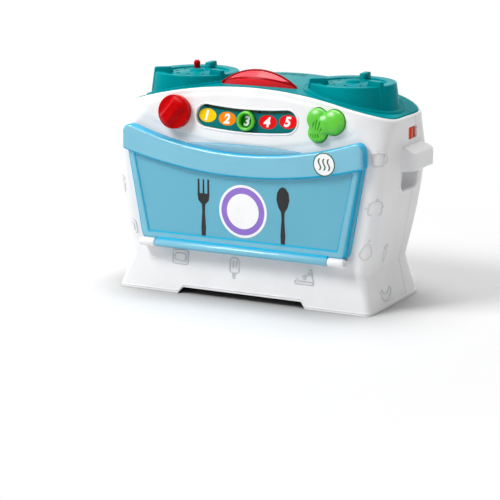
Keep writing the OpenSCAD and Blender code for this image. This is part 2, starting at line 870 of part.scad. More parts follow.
module slider_carriage() {
    back_of_plate = panel_back + plate_t;
    color([0.9, 0.9, 0.9]) on_panel() difference() {
        union() {
            translate([-12, back_of_plate + slip, -6]) cube([24, 2.8, 20]);
            // Wiper that runs over the pads
            translate([-1.5, back_of_plate + 3, 4]) cube([3, 1, 4]);
        }
        translate([-arm_w / 2, panel_back, arm_z]) cube([arm_w, plate_t + 2, arm_t]);
    }
}

module slider_board() {
    color(board_green) on_panel() translate([0, slider_board_y, 0]) {
        upright(0, board_t, box_outline(-slider_post.x - 3.5, slider_post.y - 3.5,
                                        slider_post.x + 3.5, 20, 3));
        // Contact pads, one under each number
        for (i = [-2 : 2]) translate([i * number_pitch - 4, -0.3, 2]) cube([8, 0.35, 8]);
    }
}

// Green button

dome_top = 7.5;
flange_t = 1.3;
flange_y = panel_back + fit;
button_gap = button_travel + 0.2;
tact_h = 1.5;

module lobe(p, r, top) {
    translate([button_x + p.x, 0, button_up + p.y]) {
        rod_y(r, -top + 3, panel_back + 1);
        intersection() {
            rod_y(r, -top - 1, -top + 3.1);
            translate([0, -top + r * 1.7, 0]) sphere(r = r * 1.7, $fn = 64);
        }
    }
}

module veg_button() {
    // Flange behind the casing's wall, below its roof
    color(green) intersection() {
        on_panel() button_form(flange_y, flange_y + flange_t, 1.6);
        under_arch(roof_t + slip);
    }
    color(green) on_panel() difference() {
        union() {
            lobe(lobe_a, lobe_r, dome_top);
            lobe(lobe_b, lobe_r, dome_top - 0.4);
            lobe(stalk, stalk_r, dome_top - 2);
            translate([button_x, 0, button_up])
                upright(-dome_top + 3.4, panel_back + 1, [stalk, lobe_b, lobe_a]);
        }
        // Flutes of the stalk
        for (x = [-6, -2, 2, 6]) translate([button_x + stalk.x + x, -dome_top + 2.2, button_up + stalk.y])
            rotate([0, x, 0]) translate([0, 0, -12]) cylinder(r = 0.8, h = 10);
    }
}

// Rubber plunger on the button's back, which closes the switch on the board
module button_plunger() {
    color([0.9, 0.9, 0.88]) on_panel() translate([button_x, 0, button_up])
        rod_y(5, flange_y + flange_t, button_board_y - tact_h - button_gap);
}

module button_board() {
    w = button_post.x + 3.5;
    color(board_green) on_panel() translate([button_x, button_board_y, button_up]) {
        upright(0, board_t, box_outline(-w, button_post.y - 3.5, w, 8.5, 3));
        translate([-3, -tact_h, -3]) cube([6, tact_h + 0.1, 6]);
    }
}

// Cooktop

burner_draft = 0.14;
roof = 4;
hole_ring_r = 20;
hole_r = 1.7;
rib_turn = 95;
rib_proud = 0.8;
burner_foot = belly_z + 30;
rib_w = 9;
rib_l = 26;
pin_boss_z = burner_z - 14;

function burner_at(z) = burner_r + (burner_z - z) * burner_draft;

module burner_cone(inset, z0, z1) {
    translate([0, 0, z0])
        cylinder(r1 = burner_at(z0) - inset, r2 = burner_at(z1) - inset, h = z1 - z0, $fn = 96);
}

// Rib that a pan rests on, which also runs down the outside of the drum
module pan_rib() {
    top_z = burner_z + rib_h;
    intersection() {
        union() {
            translate([burner_r - rib_l + rib_w / 2, -rib_w / 2, burner_foot])
                cube([rib_l + 10, rib_w, top_z - burner_foot]);
            translate([burner_r - rib_l + rib_w / 2, 0, burner_foot])
                cylinder(r = rib_w / 2, h = top_z - burner_foot);
        }
        burner_cone(-rib_proud, burner_foot, top_z);
    }
}

module pan_ribs() {
    for (i = [0 : 2]) rotate([0, 0, rib_turn + 120 * i]) pan_rib();
}

lens_r = (lens_half * lens_half + lens_deep * lens_deep) / (2 * lens_deep);
lens_back = cover_front + 22.5;

// Plan of the red lens: a slice of a disc, grown by a margin
module lens_plan(grow, z0, z1) {
    intersection() {
        translate([0, lens_back - lens_deep + lens_r, z0])
            cylinder(r = lens_r + grow, h = z1 - z0, $fn = 200);
        translate([-lens_half - grow, lens_back - lens_deep - grow, z0])
            cube([2 * (lens_half + grow), lens_deep + 2 * grow, z1 - z0]);
    }
}

speaker_r = 20;
speaker_y = cover_back - ledge_w - speaker_r - 3.5;
slot_y = cover_back - 10;
speaker_z = crown_z - cover_t - 1.5;
lens_board_z = crown_z - 20;
collar_z = pin_boss_z - 1.6;
spring_h = 14.5;
pin_board_z = collar_z - spring_h - board_t;

module cooktop() {
    color(teal) difference() {
        union() {
            intersection() {
                difference() {
                    under_arch(0);
                    under_arch(cover_t);
                }
                translate([0, 0, belly_z]) linear_extrude(90) polygon(cover_outline(0));
            }
            // Burner drums with their ribs
            difference() {
                for (s = [-1, 1]) translate([s * burner_x, burner_y, 0]) {
                    burner_cone(0, burner_foot, burner_z);
                    pan_ribs();
                }
                under_arch(cover_t);
            }
            // Raised ring round the foot of each drum
            intersection() {
                difference() {
                    under_arch(-1.2);
                    under_arch(cover_t);
                }
                for (s = [-1, 1]) translate([s * burner_x, burner_y, belly_z])
                    cylinder(r = burner_r + 7.4, h = 90, $fn = 96);
                translate([0, 0, belly_z]) linear_extrude(90) polygon(cover_outline(0));
            }
            // Guide of the pan pin
            translate([-burner_x, burner_y, pin_boss_z]) cylinder(r = 6.5, h = burner_z - pin_boss_z);
            // Posts for the pin's board and the lens's board
            for (s = [-1, 1]) {
                translate([-burner_x + s * 14, burner_y, pin_board_z + board_t])
                    cylinder(r = 2.5, h = burner_z - 2 - pin_board_z - board_t);
                translate([s * (lens_half + 8), lens_back - 5, lens_board_z + board_t])
                    cylinder(r = 2.5, h = crown_z - 4 - lens_board_z - board_t);
                for (y = [ear.y, ear.z]) translate([s * ear.x, y, ear_z])
                    cylinder(r = 3.5, h = ear_drop - 1);
            }
            // Collar of the speaker
            translate([0, speaker_y, speaker_z - 12]) difference() {
                cylinder(r = speaker_r + 3, h = 13);
                translate([0, 0, -1]) cylinder(r = speaker_r + 0.4, h = 13.1);
            }
        }
        for (s = [-1, 1]) translate([s * burner_x, burner_y, 0]) difference() {
            burner_cone(2.6, belly_z + 10, burner_z - roof);
            if (s < 0) {
                translate([0, 0, pin_boss_z]) cylinder(r = 6.5, h = 30);
                for (t = [-14, 14]) translate([t, 0, pin_board_z + board_t]) cylinder(r = 2.5, h = 40);
            }
        }
        // Groove inside the rim, and the holes of the burner disc
        for (s = [-1, 1]) translate([s * burner_x, burner_y, burner_z]) {
            difference() {
                translate([0, 0, -1.6]) cylinder(r = burner_r * 0.77, h = 10);
                translate([0, 0, -2]) cylinder(r = burner_r * 0.6, h = 1.4);
                translate([0, 0, -2]) cylinder(r = 8, h = 2.6);
                translate([0, 0, -burner_z]) pan_ribs();
            }
            for (i = [0 : 8]) rotate([0, 0, 40 * i]) translate([hole_ring_r, 0, -roof - 1])
                cylinder(r = hole_r, h = roof + 3, $fn = 16);
        }
        translate([-burner_x, burner_y, pin_boss_z - 1]) cylinder(r = pan_pin_d / 2 + fit, h = 40);
        lens_plan(slip, belly_z, crown_z + 10);
        // Sound slots
        for (row = [-1, 0, 1]) for (i = [-1, 0, 1])
            translate([i * 12, slot_y + row * 5, crown_z]) sound_slot();
        both_sides() for (y = [ear.y, ear.z]) translate([ear.x, y, ear_z - 1])
            cylinder(r = 1.3, h = ear_drop - 0.5);
    }
}

module sound_slot() {
    translate([-4, -1.2, -6]) cube([8, 2.4, 12]);
    for (x = [-4, 4]) translate([x, 0, -6]) cylinder(r = 1.2, h = 12);
}

// Red lens: a slice of a disc under a tilted arch
module heat_lens() {
    tilt = atan(8 / lens_deep);
    sag = lens_rise * cos(tilt);
    r = (lens_half * lens_half + sag * sag) / (2 * sag);
    color([0.85, 0.05, 0.1, 0.8]) difference() {
        union() {
            intersection() {
                lens_plan(0, crown_z - 8, crown_z + 40);
                lens_arch(tilt, r);
            }
            // Flange that bears on the underside of the cover
            intersection() {
                lens_plan(2.5, crown_z - 12, crown_z + 1);
                difference() {
                    under_arch(cover_t + 0.1);
                    under_arch(cover_t + 2.5);
                }
            }
        }
        intersection() {
            lens_plan(-2.2, crown_z - 20, crown_z + 40);
            lens_arch(tilt, r - 2.2);
        }
    }
}

module lens_arch(tilt, r) {
    sag = lens_rise * cos(tilt);
    outer_r = (lens_half * lens_half + sag * sag) / (2 * sag);
    translate([0, lens_back, lens_z + lens_rise]) rotate([tilt, 0, 0])
        translate([0, 0, -outer_r]) rotate([90, 0, 0])
            cylinder(r = r, h = reach, center = true, $fn = 200);
}

module lens_board() {
    color(board_green) translate([0, lens_back - 5, lens_board_z]) {
        translate([-lens_half - 12, -6, 0]) cube([2 * lens_half + 24, 12, board_t]);
        for (i = [-2 : 2]) translate([i * lens_half / 3, 0, board_t - 0.1]) {
            cylinder(r = 2.5, h = 4);
            translate([0, 0, 4]) sphere(r = 2.5);
        }
    }
}

// Pan pin, its spring and its switch

pin_top_z = burner_z + rib_h + pan_pin_travel;
nose_l = spring_h - tact_h - pan_pin_travel - 0.2;
module pan_pin() {
    r = pan_pin_d / 2;
    color(red) translate([-burner_x, burner_y, 0]) {
        translate([0, 0, collar_z]) cylinder(r = r, h = pin_top_z - 1.2 - collar_z);
        translate([0, 0, pin_top_z - 1.2]) cylinder(r1 = r, r2 = r - 1.2, h = 1.2);
        translate([0, 0, collar_z]) cylinder(r = 5.4, h = 1.55);
        translate([0, 0, collar_z - nose_l]) cylinder(r = 2, h = nose_l + 1);
    }
}

// Unbroken tube wound as a coil along +Z; each turn has a set number of rings
module coil(r, wire, h, turns, rings, sides = 6) {
    n = turns * rings;
    pts = [for (i = [0 : n]) let (a = 360 * i / rings, z = wire + (h - 2 * wire) * i / n)
        for (j = [0 : sides - 1]) let (b = 360 * j / sides)
            [(r + wire * cos(b)) * cos(a), (r + wire * cos(b)) * sin(a), z + wire * sin(b)]];
    skin = [for (i = [0 : n - 1]) for (j = [0 : sides - 1])
        let (a = i * sides + j, b = i * sides + (j + 1) % sides)
        for (t = [[a, b, a + sides], [b, b + sides, a + sides]]) t];
    polyhedron(points = pts, faces = concat(skin,
        [[for (j = [sides - 1 : -1 : 0]) j]],
        [[for (j = [0 : sides - 1]) n * sides + j]]));
}

spring_turns = 6;
spring_wire = 0.4;
echo(least_gap_between_spring_turns = spring_h / spring_turns - 2 * spring_wire);

module pin_spring() {
    color(steel) translate([-burner_x, burner_y, pin_board_z + board_t])
        coil(4.6, spring_wire, spring_h, spring_turns, 8);
}

module pin_board() {
    color(board_green) translate([-burner_x, burner_y, pin_board_z]) {
        translate([-18, -9, 0]) cube([36, 18, board_t]);
        translate([-2.5, -2.5, board_t - 0.1]) cube([5, 5, tact_h + 0.1]);
    }
}

// Power switch on the right side

slide_travel = 7;
slide_x = half_w(switch_z + switch_h / 2) - wall - 0.4;

module power_slide() {
    color([0.95, 0.3, 0.05]) {
        translate([slide_x - 1.6, switch_y - switch_w / 2 - slide_travel - 2, switch_z - switch_h / 2 - 1])
            cube([1.6, switch_w + slide_travel + 2.5, switch_h + 2]);
        translate([slide_x - 0.1, switch_y - switch_w / 2 + 0.6, switch_z - switch_h / 2 + 0.6])
            cube([half_w(switch_z) + 0.6 - slide_x, switch_w - slide_travel - 1.2, switch_h - 1.2]);
        translate([slide_x - 4, switch_y - switch_w / 2 + 4, switch_z - 2]) cube([3, 4, 4]);
    }
}

module power_switch() {
    color([0.2, 0.2, 0.22]) difference() {
        translate([slide_x - 13, switch_y - 10, switch_z - switch_body_h / 2])
            cube([11, 20, switch_body_h]);
        translate([slide_x - 5, switch_y - 8, switch_z - 2.5]) cube([6, 16.5, 5]);
    }
}

// Lifting grips: a hood over a finger pocket, one piece with the pocket

grip_t = 3;
grip_x = body_w / 2 + grip_out;
hood_half = grip_w / 2 - 1;

// Rounded hood, wedge-shaped from the front and round-cornered from above
module hood() {
    x0 = body_w / 2 - 6;
    intersection() {
        upright(-60, 60, rounded(
            [[x0, grip_low - 1], [grip_x, grip_low + 3], [grip_x, grip_z - 6],
             [body_w / 2 + 1, grip_z], [x0, grip_z]], [0, 3, 6, 8, 0]));
        translate([x0 - 1, grip_y, 0]) rotate([90, 0, 90]) linear_extrude(60)
            polygon(box_outline(-hood_half, grip_low - 20, hood_half, grip_z, 7));
        translate([0, grip_y, grip_low - 5]) linear_extrude(60)
            polygon(box_outline(x0 - 20, -hood_half, grip_x, hood_half, 8));
    }
}

module handle() {
    finger_x = grip_back + pocket_t;
    half = grip_w / 2 - pocket_t;
    flange_x = half_w(pocket_low - 5) - wall - 2 - slip;
    color(white) difference() {
        union() {
            intersection() {
                handle_cut(-0.15);
                casing_form(0, 0);
            }
            hood();
            // Flange behind the casing wall
            translate([flange_x, grip_y - grip_w / 2 - 3, pocket_low - 5])
                cube([2, grip_w + 6, grip_z - pocket_low + 9]);
        }
        // Finger pocket, open outwards below the hood
        translate([finger_x, grip_y, 0]) rotate([90, 0, 90]) linear_extrude(60)
            polygon(box_outline(-half, pocket_low, half, grip_low + 8, 8));
        // Hollow of the hood
        translate([0, grip_y, pocket_low + 12]) linear_extrude(grip_z - 8 - pocket_low - 12)
            polygon(box_outline(finger_x, -hood_half + grip_t, grip_x - grip_t,
                                hood_half - grip_t, 5));
    }
}

module handle_right() { handle(); }
module handle_left() { mirror([1, 0, 0]) handle(); }

// Speaker and its clamp ring

module speaker() {
    color([0.12, 0.12, 0.13]) translate([0, speaker_y, speaker_z]) {
        translate([0, 0, -3]) cylinder(r = speaker_r, h = 3);
        translate([0, 0, -11]) cylinder(r1 = 13, r2 = speaker_r - 1, h = 8.01);
        translate([0, 0, -17]) cylinder(r = 12, h = 6.01);
    }
}

module speaker_ring() {
    color(white) translate([0, speaker_y, speaker_z - 14]) difference() {
        cylinder(r = speaker_r + 3, h = 2);
        translate([0, 0, -1]) cylinder(r = 15, h = 4);
    }
}

// Leads, each a run of straight stretches with round joints
module lead(route, r) {
    for (i = [0 : len(route) - 2]) let (a = route[i], d = route[i + 1] - a,
        tip = norm([d.x, d.y])) {
        translate(a) rotate([0, atan2(tip, d.z), atan2(d.y, d.x)])
            cylinder(r = r, h = norm(d), $fn = 16);
        translate(a) sphere(r = r + 0.15, $fn = 16);
    }
    translate(route[len(route) - 1]) sphere(r = r + 0.15, $fn = 16);
}

module wire_harness() {
    rise_y = -front_y + wall + oven_depth + liner_t + 3;
    top = board_z + board_t;
    color([0.7, 0.1, 0.1]) for (k = [0, 1]) {
        // Battery bay to main board, behind the oven box
        lead([[12 + 4 * k, bay_y + bay_l / 2 + screw_tab + bay_t + 1, base_top + 8],
              [12 + 4 * k, rise_y, floor_z - 10],
              [12 + 4 * k, rise_y, top + 4],
              [12 + 4 * k, 36, top + 1]], 1);
        // Speaker to main board
        lead([[-8 - 4 * k, speaker_y, speaker_z - 18],
              [-8 - 4 * k, speaker_y, top + 8],
              [-8 - 4 * k, 36, top + 1]], 1);
    }
}

front_shell();
rear_shell();
base_plate();
cooktop();
oven_liner();
hinge_pins();
door();
timer_knob();
timer_encoder();
number_plate();
number_slider();
slider_carriage();
slider_board();
veg_button();
button_plunger();
button_board();
heat_lens();
lens_board();
pan_pin();
pin_spring();
pin_board();
power_slide();
power_switch();
handle_right();
handle_left();
main_board();
speaker();
speaker_ring();
battery_box();
battery_contacts();
batteries();
battery_cover();
battery_screw();
shell_screws();
base_screws();
cooktop_screws();
board_screws();
wire_harness();
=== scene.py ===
# %% [markdown]
# # A toy oven for a table top
# The real oven is a hollow toy: a white casing in two halves, a teal top with
# two burners, a clear blue door and a row of bright controls. The packed CAD
# model is the frame. It says where everything sits and what moves. This script
# gives it its looks: rounded mouldings, print, relief and plastics.
#
# The script starts with the frame.

# %% Start
import json
import math

import bmesh
import bpy
from mathutils import Matrix, Vector


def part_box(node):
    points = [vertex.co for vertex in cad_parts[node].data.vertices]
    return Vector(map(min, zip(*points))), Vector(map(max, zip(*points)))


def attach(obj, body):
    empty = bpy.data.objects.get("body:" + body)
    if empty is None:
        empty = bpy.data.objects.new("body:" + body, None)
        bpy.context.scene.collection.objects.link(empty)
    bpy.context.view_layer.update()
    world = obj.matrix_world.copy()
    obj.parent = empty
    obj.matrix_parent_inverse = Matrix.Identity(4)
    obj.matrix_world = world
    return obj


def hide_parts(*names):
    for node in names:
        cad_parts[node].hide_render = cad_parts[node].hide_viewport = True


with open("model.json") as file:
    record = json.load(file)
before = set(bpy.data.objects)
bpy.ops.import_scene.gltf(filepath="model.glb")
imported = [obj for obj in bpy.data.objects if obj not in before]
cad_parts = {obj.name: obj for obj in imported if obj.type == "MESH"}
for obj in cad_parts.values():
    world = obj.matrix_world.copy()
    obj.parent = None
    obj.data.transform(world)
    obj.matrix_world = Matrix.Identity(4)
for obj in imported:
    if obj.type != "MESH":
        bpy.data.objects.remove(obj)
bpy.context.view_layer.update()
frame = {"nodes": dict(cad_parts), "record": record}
nodes = frame["nodes"]
mm = 0.001
print("CAD nodes:", len(nodes))

# %% [markdown]
# ## The camera
# The photo was taken from the oven's right, a little above it, through a long
# lens. The camera stands on a line from the point that it looks at. A long lens
# from far away keeps the oven's edges nearly parallel, as in the photo.

# %% Camera
look_at = Vector((-31.0 * mm, 8.2 * mm, 38.7 * mm))
azimuth, elevation, sideways = math.radians(28.05), math.radians(12.9), math.radians(-0.16)
distance = 2.5
away = Vector((math.sin(azimuth) * math.cos(elevation),
               -math.cos(azimuth) * math.cos(elevation), math.sin(elevation)))
lens = bpy.data.cameras.new("photo_camera")
lens.lens = 155.66
lens.sensor_width = 36


def linked(name, data):
    """A new object in the scene, at the origin."""
    ob = bpy.data.objects.new(name, data)
    bpy.context.collection.objects.link(ob)
    return ob


camera = linked("photo_camera", lens)
camera.location = look_at + away * distance
camera.rotation_euler = ((-away).to_track_quat("-Z", "Y").to_matrix()
                         @ Matrix.Rotation(sideways, 3, "Z")).to_euler()
bpy.context.scene.camera = camera
print("camera at", [round(c, 3) for c in camera.location])

# %% [markdown]
# ## Light
# A product photo is lit by large soft lamps. Area lamps give such light, and
# their size sets how soft a shadow's edge is. There are three: a big key from
# the front left, a weak fill from the right and one from above.

# %% Lamps
oven_middle = Vector((0, 0, 0.12))


def lamp(name, place, size, power):
    """A soft rectangular lamp that points at the oven's middle."""
    light = bpy.data.lights.new(name, "AREA")
    light.shape = "RECTANGLE"
    light.size, light.size_y = size
    light.energy = power
    ob = linked(name, light)
    ob.location = place
    ob.rotation_euler = (oven_middle - ob.location).to_track_quat("-Z", "Y").to_euler()
    return ob


lamp("key", (-1.05, -1.2, 1.9), (1.0, 0.9), 46)
lamp("fill", (1.9, -0.9, 0.5), (1.2, 0.7), 3.3)
lamp("top", (-0.1, 0.5, 1.8), (1.4, 1.0), 19)

# %% [markdown]
# ## Background
# The photo's background is pure white, but a world that bright would flatten
# all shading. The Light Path node tells rays apart: to the camera, in a gloss
# and through a clear part the world is white, and as a light it is dim.

# %% World
sky_light, sky_seen = 0.3, 1.0
world = bpy.data.worlds.new("studio")
bpy.context.scene.world = world
world.use_nodes = True
sky = world.node_tree
sky.nodes.clear()
ray = sky.nodes.new("ShaderNodeLightPath")
looks = ray.outputs["Is Camera Ray"]
for kind in ("Is Glossy Ray", "Is Transmission Ray"):
    either = sky.nodes.new("ShaderNodeMath")
    either.operation = "MAXIMUM"
    sky.links.new(looks, either.inputs[0])
    sky.links.new(ray.outputs[kind], either.inputs[1])
    looks = either.outputs[0]
pick = sky.nodes.new("ShaderNodeMixShader")
sky.links.new(looks, pick.inputs[0])
for slot, strength in ((1, sky_light), (2, sky_seen)):
    white_sky = sky.nodes.new("ShaderNodeBackground")
    white_sky.inputs["Color"].default_value = (1, 1, 1, 1)
    white_sky.inputs["Strength"].default_value = strength
    sky.links.new(white_sky.outputs[0], pick.inputs[slot])
sky.links.new(pick.outputs[0], sky.nodes.new("ShaderNodeOutputWorld").inputs["Surface"])
bpy.context.scene.view_settings.view_transform = "Standard"
print("sky as a light:", sky_light, " as it is seen:", sky_seen)

# %% [markdown]
# ## Sums on sockets
# A material is a graph of nodes. Drawing it link by link is long to read, so a
# small class wraps a node's output and lets Python's own signs add the Math
# nodes, also with a plain number on the left, as in 1 - mask.

# %% Sums on sockets
class Out:
    """A node's output that Python can do sums with."""

    def __init__(self, paint, socket):
        self.paint, self.socket = paint, socket

    def sum(self, operation, other, swapped=False):
        """Adds a Math node between this output and another one or a number."""
        pair = (other, self) if swapped else (self, other)
        return self.paint.node("Math", {"operation": operation}, {0: pair[0], 1: pair[1]})

    def __add__(self, other):
        return self.sum("ADD", other)

    def __sub__(self, other):
        return self.sum("SUBTRACT", other)

    def __rsub__(self, other):
        return self.sum("SUBTRACT", other, True)

    def __mul__(self, other):
        return self.sum("MULTIPLY", other)

    __radd__ = __add__
    __rmul__ = __mul__


print("signs that add a node: + - *")

# %% [markdown]
# ## A material in one object
# This class holds one material. Its node method adds any node by its type, with
# the settings first and then the values or links of its sockets. Patterns read
# Object coordinates, in metres, so a grain has the same size on every piece.

# %% Material tools
class Paint:
    """One material: a Principled shader and the nodes that feed it."""

    def __init__(self, name, **sockets):
        self.material = bpy.data.materials.new(name)
        self.material.use_nodes = True
        self.tree = self.material.node_tree
        self.shader = self.tree.nodes["Principled BSDF"]
        self.place = self.node("TexCoord", out="Object")
        self.set(**sockets)

    def node(self, kind, settings=None, values=None, out=0):
        """Adds a node and gives back one of its outputs."""
        made = self.tree.nodes.new("ShaderNode" + kind)
        for key, value in (settings or {}).items():
            setattr(made, key, value)
        for key, value in (values or {}).items():
            self.feed(made.inputs[key], value)
        return Out(self, made.outputs[out])

    def feed(self, socket, value):
        """Links an output to a socket, or sets a plain value."""
        if isinstance(value, Out):
            self.tree.links.new(value.socket, socket)
        else:
            socket.default_value = value

    def set(self, **sockets):
        """Feeds the shader's sockets by their names, as in base_color=..."""
        for key, value in sockets.items():
            self.feed(self.shader.inputs[key.replace("_", " ").title().replace("Ior", "IOR")], value)

    def noise(self, size, detail=3.0, rough=0.5, spot=None):
        """Soft random pattern from 0 to 1, with features of a size in metres."""
        return self.node("TexNoise", {}, {"Vector": spot or self.place, "Scale": 1 / size,
                                          "Detail": detail, "Roughness": rough})

    def between(self, low, high, value):
        """0 below low, 1 above high, and smooth in the middle."""
        return self.node("MapRange", {"interpolation_type": "SMOOTHSTEP"},
                         {"Value": value, "From Min": low, "From Max": high})

    def mix(self, one, other, share):
        """A colour between two, by a share from 0 to 1."""
        return self.node("Mix", {"data_type": "RGBA"}, {0: share, 6: one, 7: other}, out=2)

    def looked_at(self):
        """1 where a ray comes from the camera, or by way of a gloss or of glass."""
        kinds = [self.node("LightPath", out=kind)
                 for kind in ("Is Camera Ray", "Is Glossy Ray", "Is Transmission Ray")]
        return kinds[0].sum("MAXIMUM", kinds[1]).sum("MAXIMUM", kinds[2])

    def bump(self, height, depth):
        """Small relief: height from 0 to 1 stands for a depth in metres."""
        self.set(normal=self.node("Bump", {}, {"Strength": 1.0, "Distance": depth,
                                               "Height": height}))


print("tools of a material:", [word for word in vars(Paint) if not word.startswith("_")])

# %% [markdown]
# ## Colours
# A colour is easy to name as a screen shows it, from 0 to 255 in red, green and
# blue. A shader counts light instead, where half the light looks much brighter
# than half way, so each number is turned into that scale first.

# %% Colours
def rgb(red, green, blue):
    """A colour as a screen shows it, 0 to 255, in the linear numbers of a shader."""
    straight = [c / 255 for c in (red, green, blue)]
    return tuple(c / 12.92 if c < 0.04045 else ((c + 0.055) / 1.055) ** 2.4
                 for c in straight) + (1.0,)


print("white 240 is", round(rgb(240, 240, 240)[0], 3))

# %% [markdown]
# ## Plastics
# Nearly everything on the oven is moulded plastic. No two mouldings are quite
# alike, so each plastic has slow drifts of tone, handled patches that shine a
# little less and a fine grain in its normals, all by noise.

# %% Plastic
def plastic(name, colour, shade, rough, grain, gloss_patch=0.05, **more):
    """Moulded plastic: a colour that drifts to a shade, with grain and handled patches."""
    paint = Paint(name, **more)
    drift = paint.between(0.35, 0.65, paint.noise(45 * mm, 2.0))
    fleck = paint.between(0.45, 0.75, paint.noise(1.6 * mm, 4.0, 0.65))
    colour_now = paint.mix(colour, shade, drift * 0.75 + fleck * 0.25)
    handled = paint.between(0.4, 0.7, paint.noise(22 * mm, 3.0))
    paint.set(base_color=colour_now, roughness=rough + handled * gloss_patch)
    texture = paint.noise(0.7 * mm, 2.0) * 0.7 + paint.noise(7 * mm, 2.0) * 0.3
    paint.bump(texture, grain)
    return paint.material


print("a plastic takes a colour, a shade, a roughness and a grain")

# %% [markdown]
# ### The plastics one sees
# The casing is a satin white with a fine grain from the mould, and the green is
# the glossiest. The teal gets its shine at a slant from a tinted sheen rather
# than from a reflection, which would turn its flat top grey.

# %% Outer plastics
white = plastic("white_casing", rgb(238, 238, 239), rgb(233, 233, 234), 0.34, 0.02 * mm,
                specular_ior_level=0.35)
# The casing's plastic made greyer for the raised pictures: painted shade of the small relief.
relief_shade_white = plastic("relief_painted_shade", rgb(218, 218, 220), rgb(210, 210, 213), 0.4, 0.01 * mm,
                     specular_ior_level=0.3)
white_trim = plastic("white_trim", rgb(240, 240, 242), rgb(235, 235, 238), 0.28, 0.012 * mm,
                     specular_ior_level=0.35)
teal = plastic("teal_cover", rgb(0, 141, 147), rgb(0, 129, 136), 0.2, 0.02 * mm,
               specular_ior_level=0.01, sheen_weight=0.32, sheen_roughness=0.3,
               sheen_tint=(0.0, 0.8, 0.85, 1.0))
teal_strip = plastic("teal_strip", rgb(6, 116, 116), rgb(4, 104, 106), 0.36, 0.015 * mm,
                     specular_ior_level=0.1)
red = plastic("red_knob", rgb(190, 1, 5), rgb(174, 0, 4), 0.24, 0.014 * mm,
              specular_ior_level=0.06)
green = plastic("green_button", rgb(82, 200, 1), rgb(64, 184, 0), 0.32, 0.014 * mm,
                specular_ior_level=0.9)
orange = plastic("orange_nub", rgb(236, 66, 8), rgb(214, 46, 6), 0.26, 0.012 * mm,
                 specular_ior_level=0.15)
print("outer plastics:", [paint.name for paint in (white, teal, red, green, orange)])

# %% [markdown]
# ### Plastics inside
# The inner box and the parts behind the casing are duller. A few show through
# the clear door, the others only when the part is taken apart.

# %% Inner plastics
liner_paint = plastic("liner_grey", rgb(196, 205, 214), rgb(184, 194, 205), 0.5, 0.03 * mm)
grey_paint = plastic("grey_inner", rgb(74, 76, 80), rgb(64, 66, 70), 0.5, 0.03 * mm)
black_paint = plastic("black_inner", rgb(38, 38, 41), rgb(30, 30, 33), 0.5, 0.03 * mm)
rubber = plastic("plunger_rubber", rgb(206, 204, 196), rgb(190, 188, 180), 0.75, 0.03 * mm)
wire_paint = plastic("wire_cover", rgb(176, 26, 26), rgb(150, 18, 18), 0.45, 0.01 * mm)
cell_paint = plastic("cell_wrap", rgb(40, 42, 48), rgb(26, 28, 34), 0.2, 0.005 * mm)
print("inner plastics:", [paint.name for paint in (liner_paint, grey_paint, black_paint, rubber)])

# %% [markdown]
# ## Steel and circuit board
# The screws, pins and springs are plated steel, brushed by their making: fine
# streaks round the shank, so a noise stretched along one axis. A circuit board
# is green lacquer over copper tracks, which show as paler lines on a grid.

# %% Steel and board
steel = Paint("plated_steel", metallic=1.0)
stretched = steel.node("Mapping", {}, {"Vector": steel.place, "Scale": (1, 1, 14)})
streak = steel.noise(1.2 * mm, 3.0, 0.6, stretched)
steel.set(base_color=steel.mix(rgb(206, 207, 210), rgb(178, 180, 184), streak),
          roughness=0.22 + streak * 0.2)
steel.bump(streak, 0.01 * mm)

board = Paint("circuit_board", roughness=0.35)
grid = board.node("TexBrick", {"offset": 0.35}, {
    "Vector": board.place, "Scale": 1.0, "Brick Width": 9 * mm, "Row Height": 4 * mm,
    "Mortar Size": 0.35 * mm, "Mortar Smooth": 0.1}, out="Fac")
dots = board.node("TexVoronoi", {}, {"Vector": board.place, "Scale": 1 / (5 * mm)})
via = 1 - board.between(0.16, 0.22, dots)
lacquer = board.mix(rgb(12, 92, 48), rgb(48, 138, 80), grid)
board.set(base_color=board.mix(lacquer, rgb(206, 196, 150), via), roughness=0.32 + grid * 0.1)
board.bump(grid, 0.03 * mm)
print("metal", steel.material.name, "and board", board.material.name)

# %% [markdown]
# ## Clear plastics
# The door is tinted, clear plastic about 2 mm thick. Looked straight through it
# is pale, and along an edge the light passes through far more of it, so rims
# look deep cyan. Real refraction would blur what is behind in a small picture
# and is lost in an export, so the door is see-through by its alpha, and the
# Layer Weight node, which knows how steeply a face is seen, makes rims dense.
# The red lens has the same kind of finish, nearly opaque.

# %% Clear plastic
def clear_plastic(name, pale, deep, thin, dense, rough, gloss=0.25):
    """Tinted clear plastic: pale and thin face on, deep and dense at its rims."""
    paint = Paint(name, roughness=rough, specular_ior_level=gloss)
    edge = paint.node("LayerWeight", {}, {"Blend": 0.42}, out="Facing")
    haze = paint.noise(60 * mm, 3.0, 0.55)
    paint.set(base_color=paint.mix(pale, deep, paint.between(0.1, 0.85, edge)),
              alpha=paint.between(0.0, 1.0, thin + edge * (dense - thin) + haze * 0.06))
    paint.bump(paint.noise(18 * mm, 2.0), 0.05 * mm)
    return paint.material


door_blue = clear_plastic("door_blue", rgb(118, 198, 222), rgb(0, 150, 200), 0.6, 1.05, 0.16)
door_pale = clear_plastic("door_pale", rgb(134, 208, 232), rgb(30, 168, 212), 0.62, 1.05, 0.12, 0.6)
# The tab's thinner, more see-through plastic, made paler still: painted light that makes up for the shade on
# the casing behind it.
door_thin_painted_light = clear_plastic("door_thin_painted_light", rgb(172, 228, 246), rgb(60, 186, 226), 0.36, 1.0, 0.12)
door_rim = clear_plastic("door_rim", rgb(30, 180, 220), rgb(0, 160, 206), 0.84, 1.0, 0.14)
lens_red = clear_plastic("lens_red", rgb(236, 14, 32), rgb(186, 0, 14), 0.92, 1.0, 0.12)
# The paler red for the lens's upward faces: painted light.
lens_painted_light = clear_plastic("lens_painted_light", rgb(244, 86, 96), rgb(214, 36, 50), 0.92, 1.0, 0.12)
print("clear plastics:", [paint.name for paint in (door_blue, door_pale, door_thin_painted_light, door_rim, lens_red)])

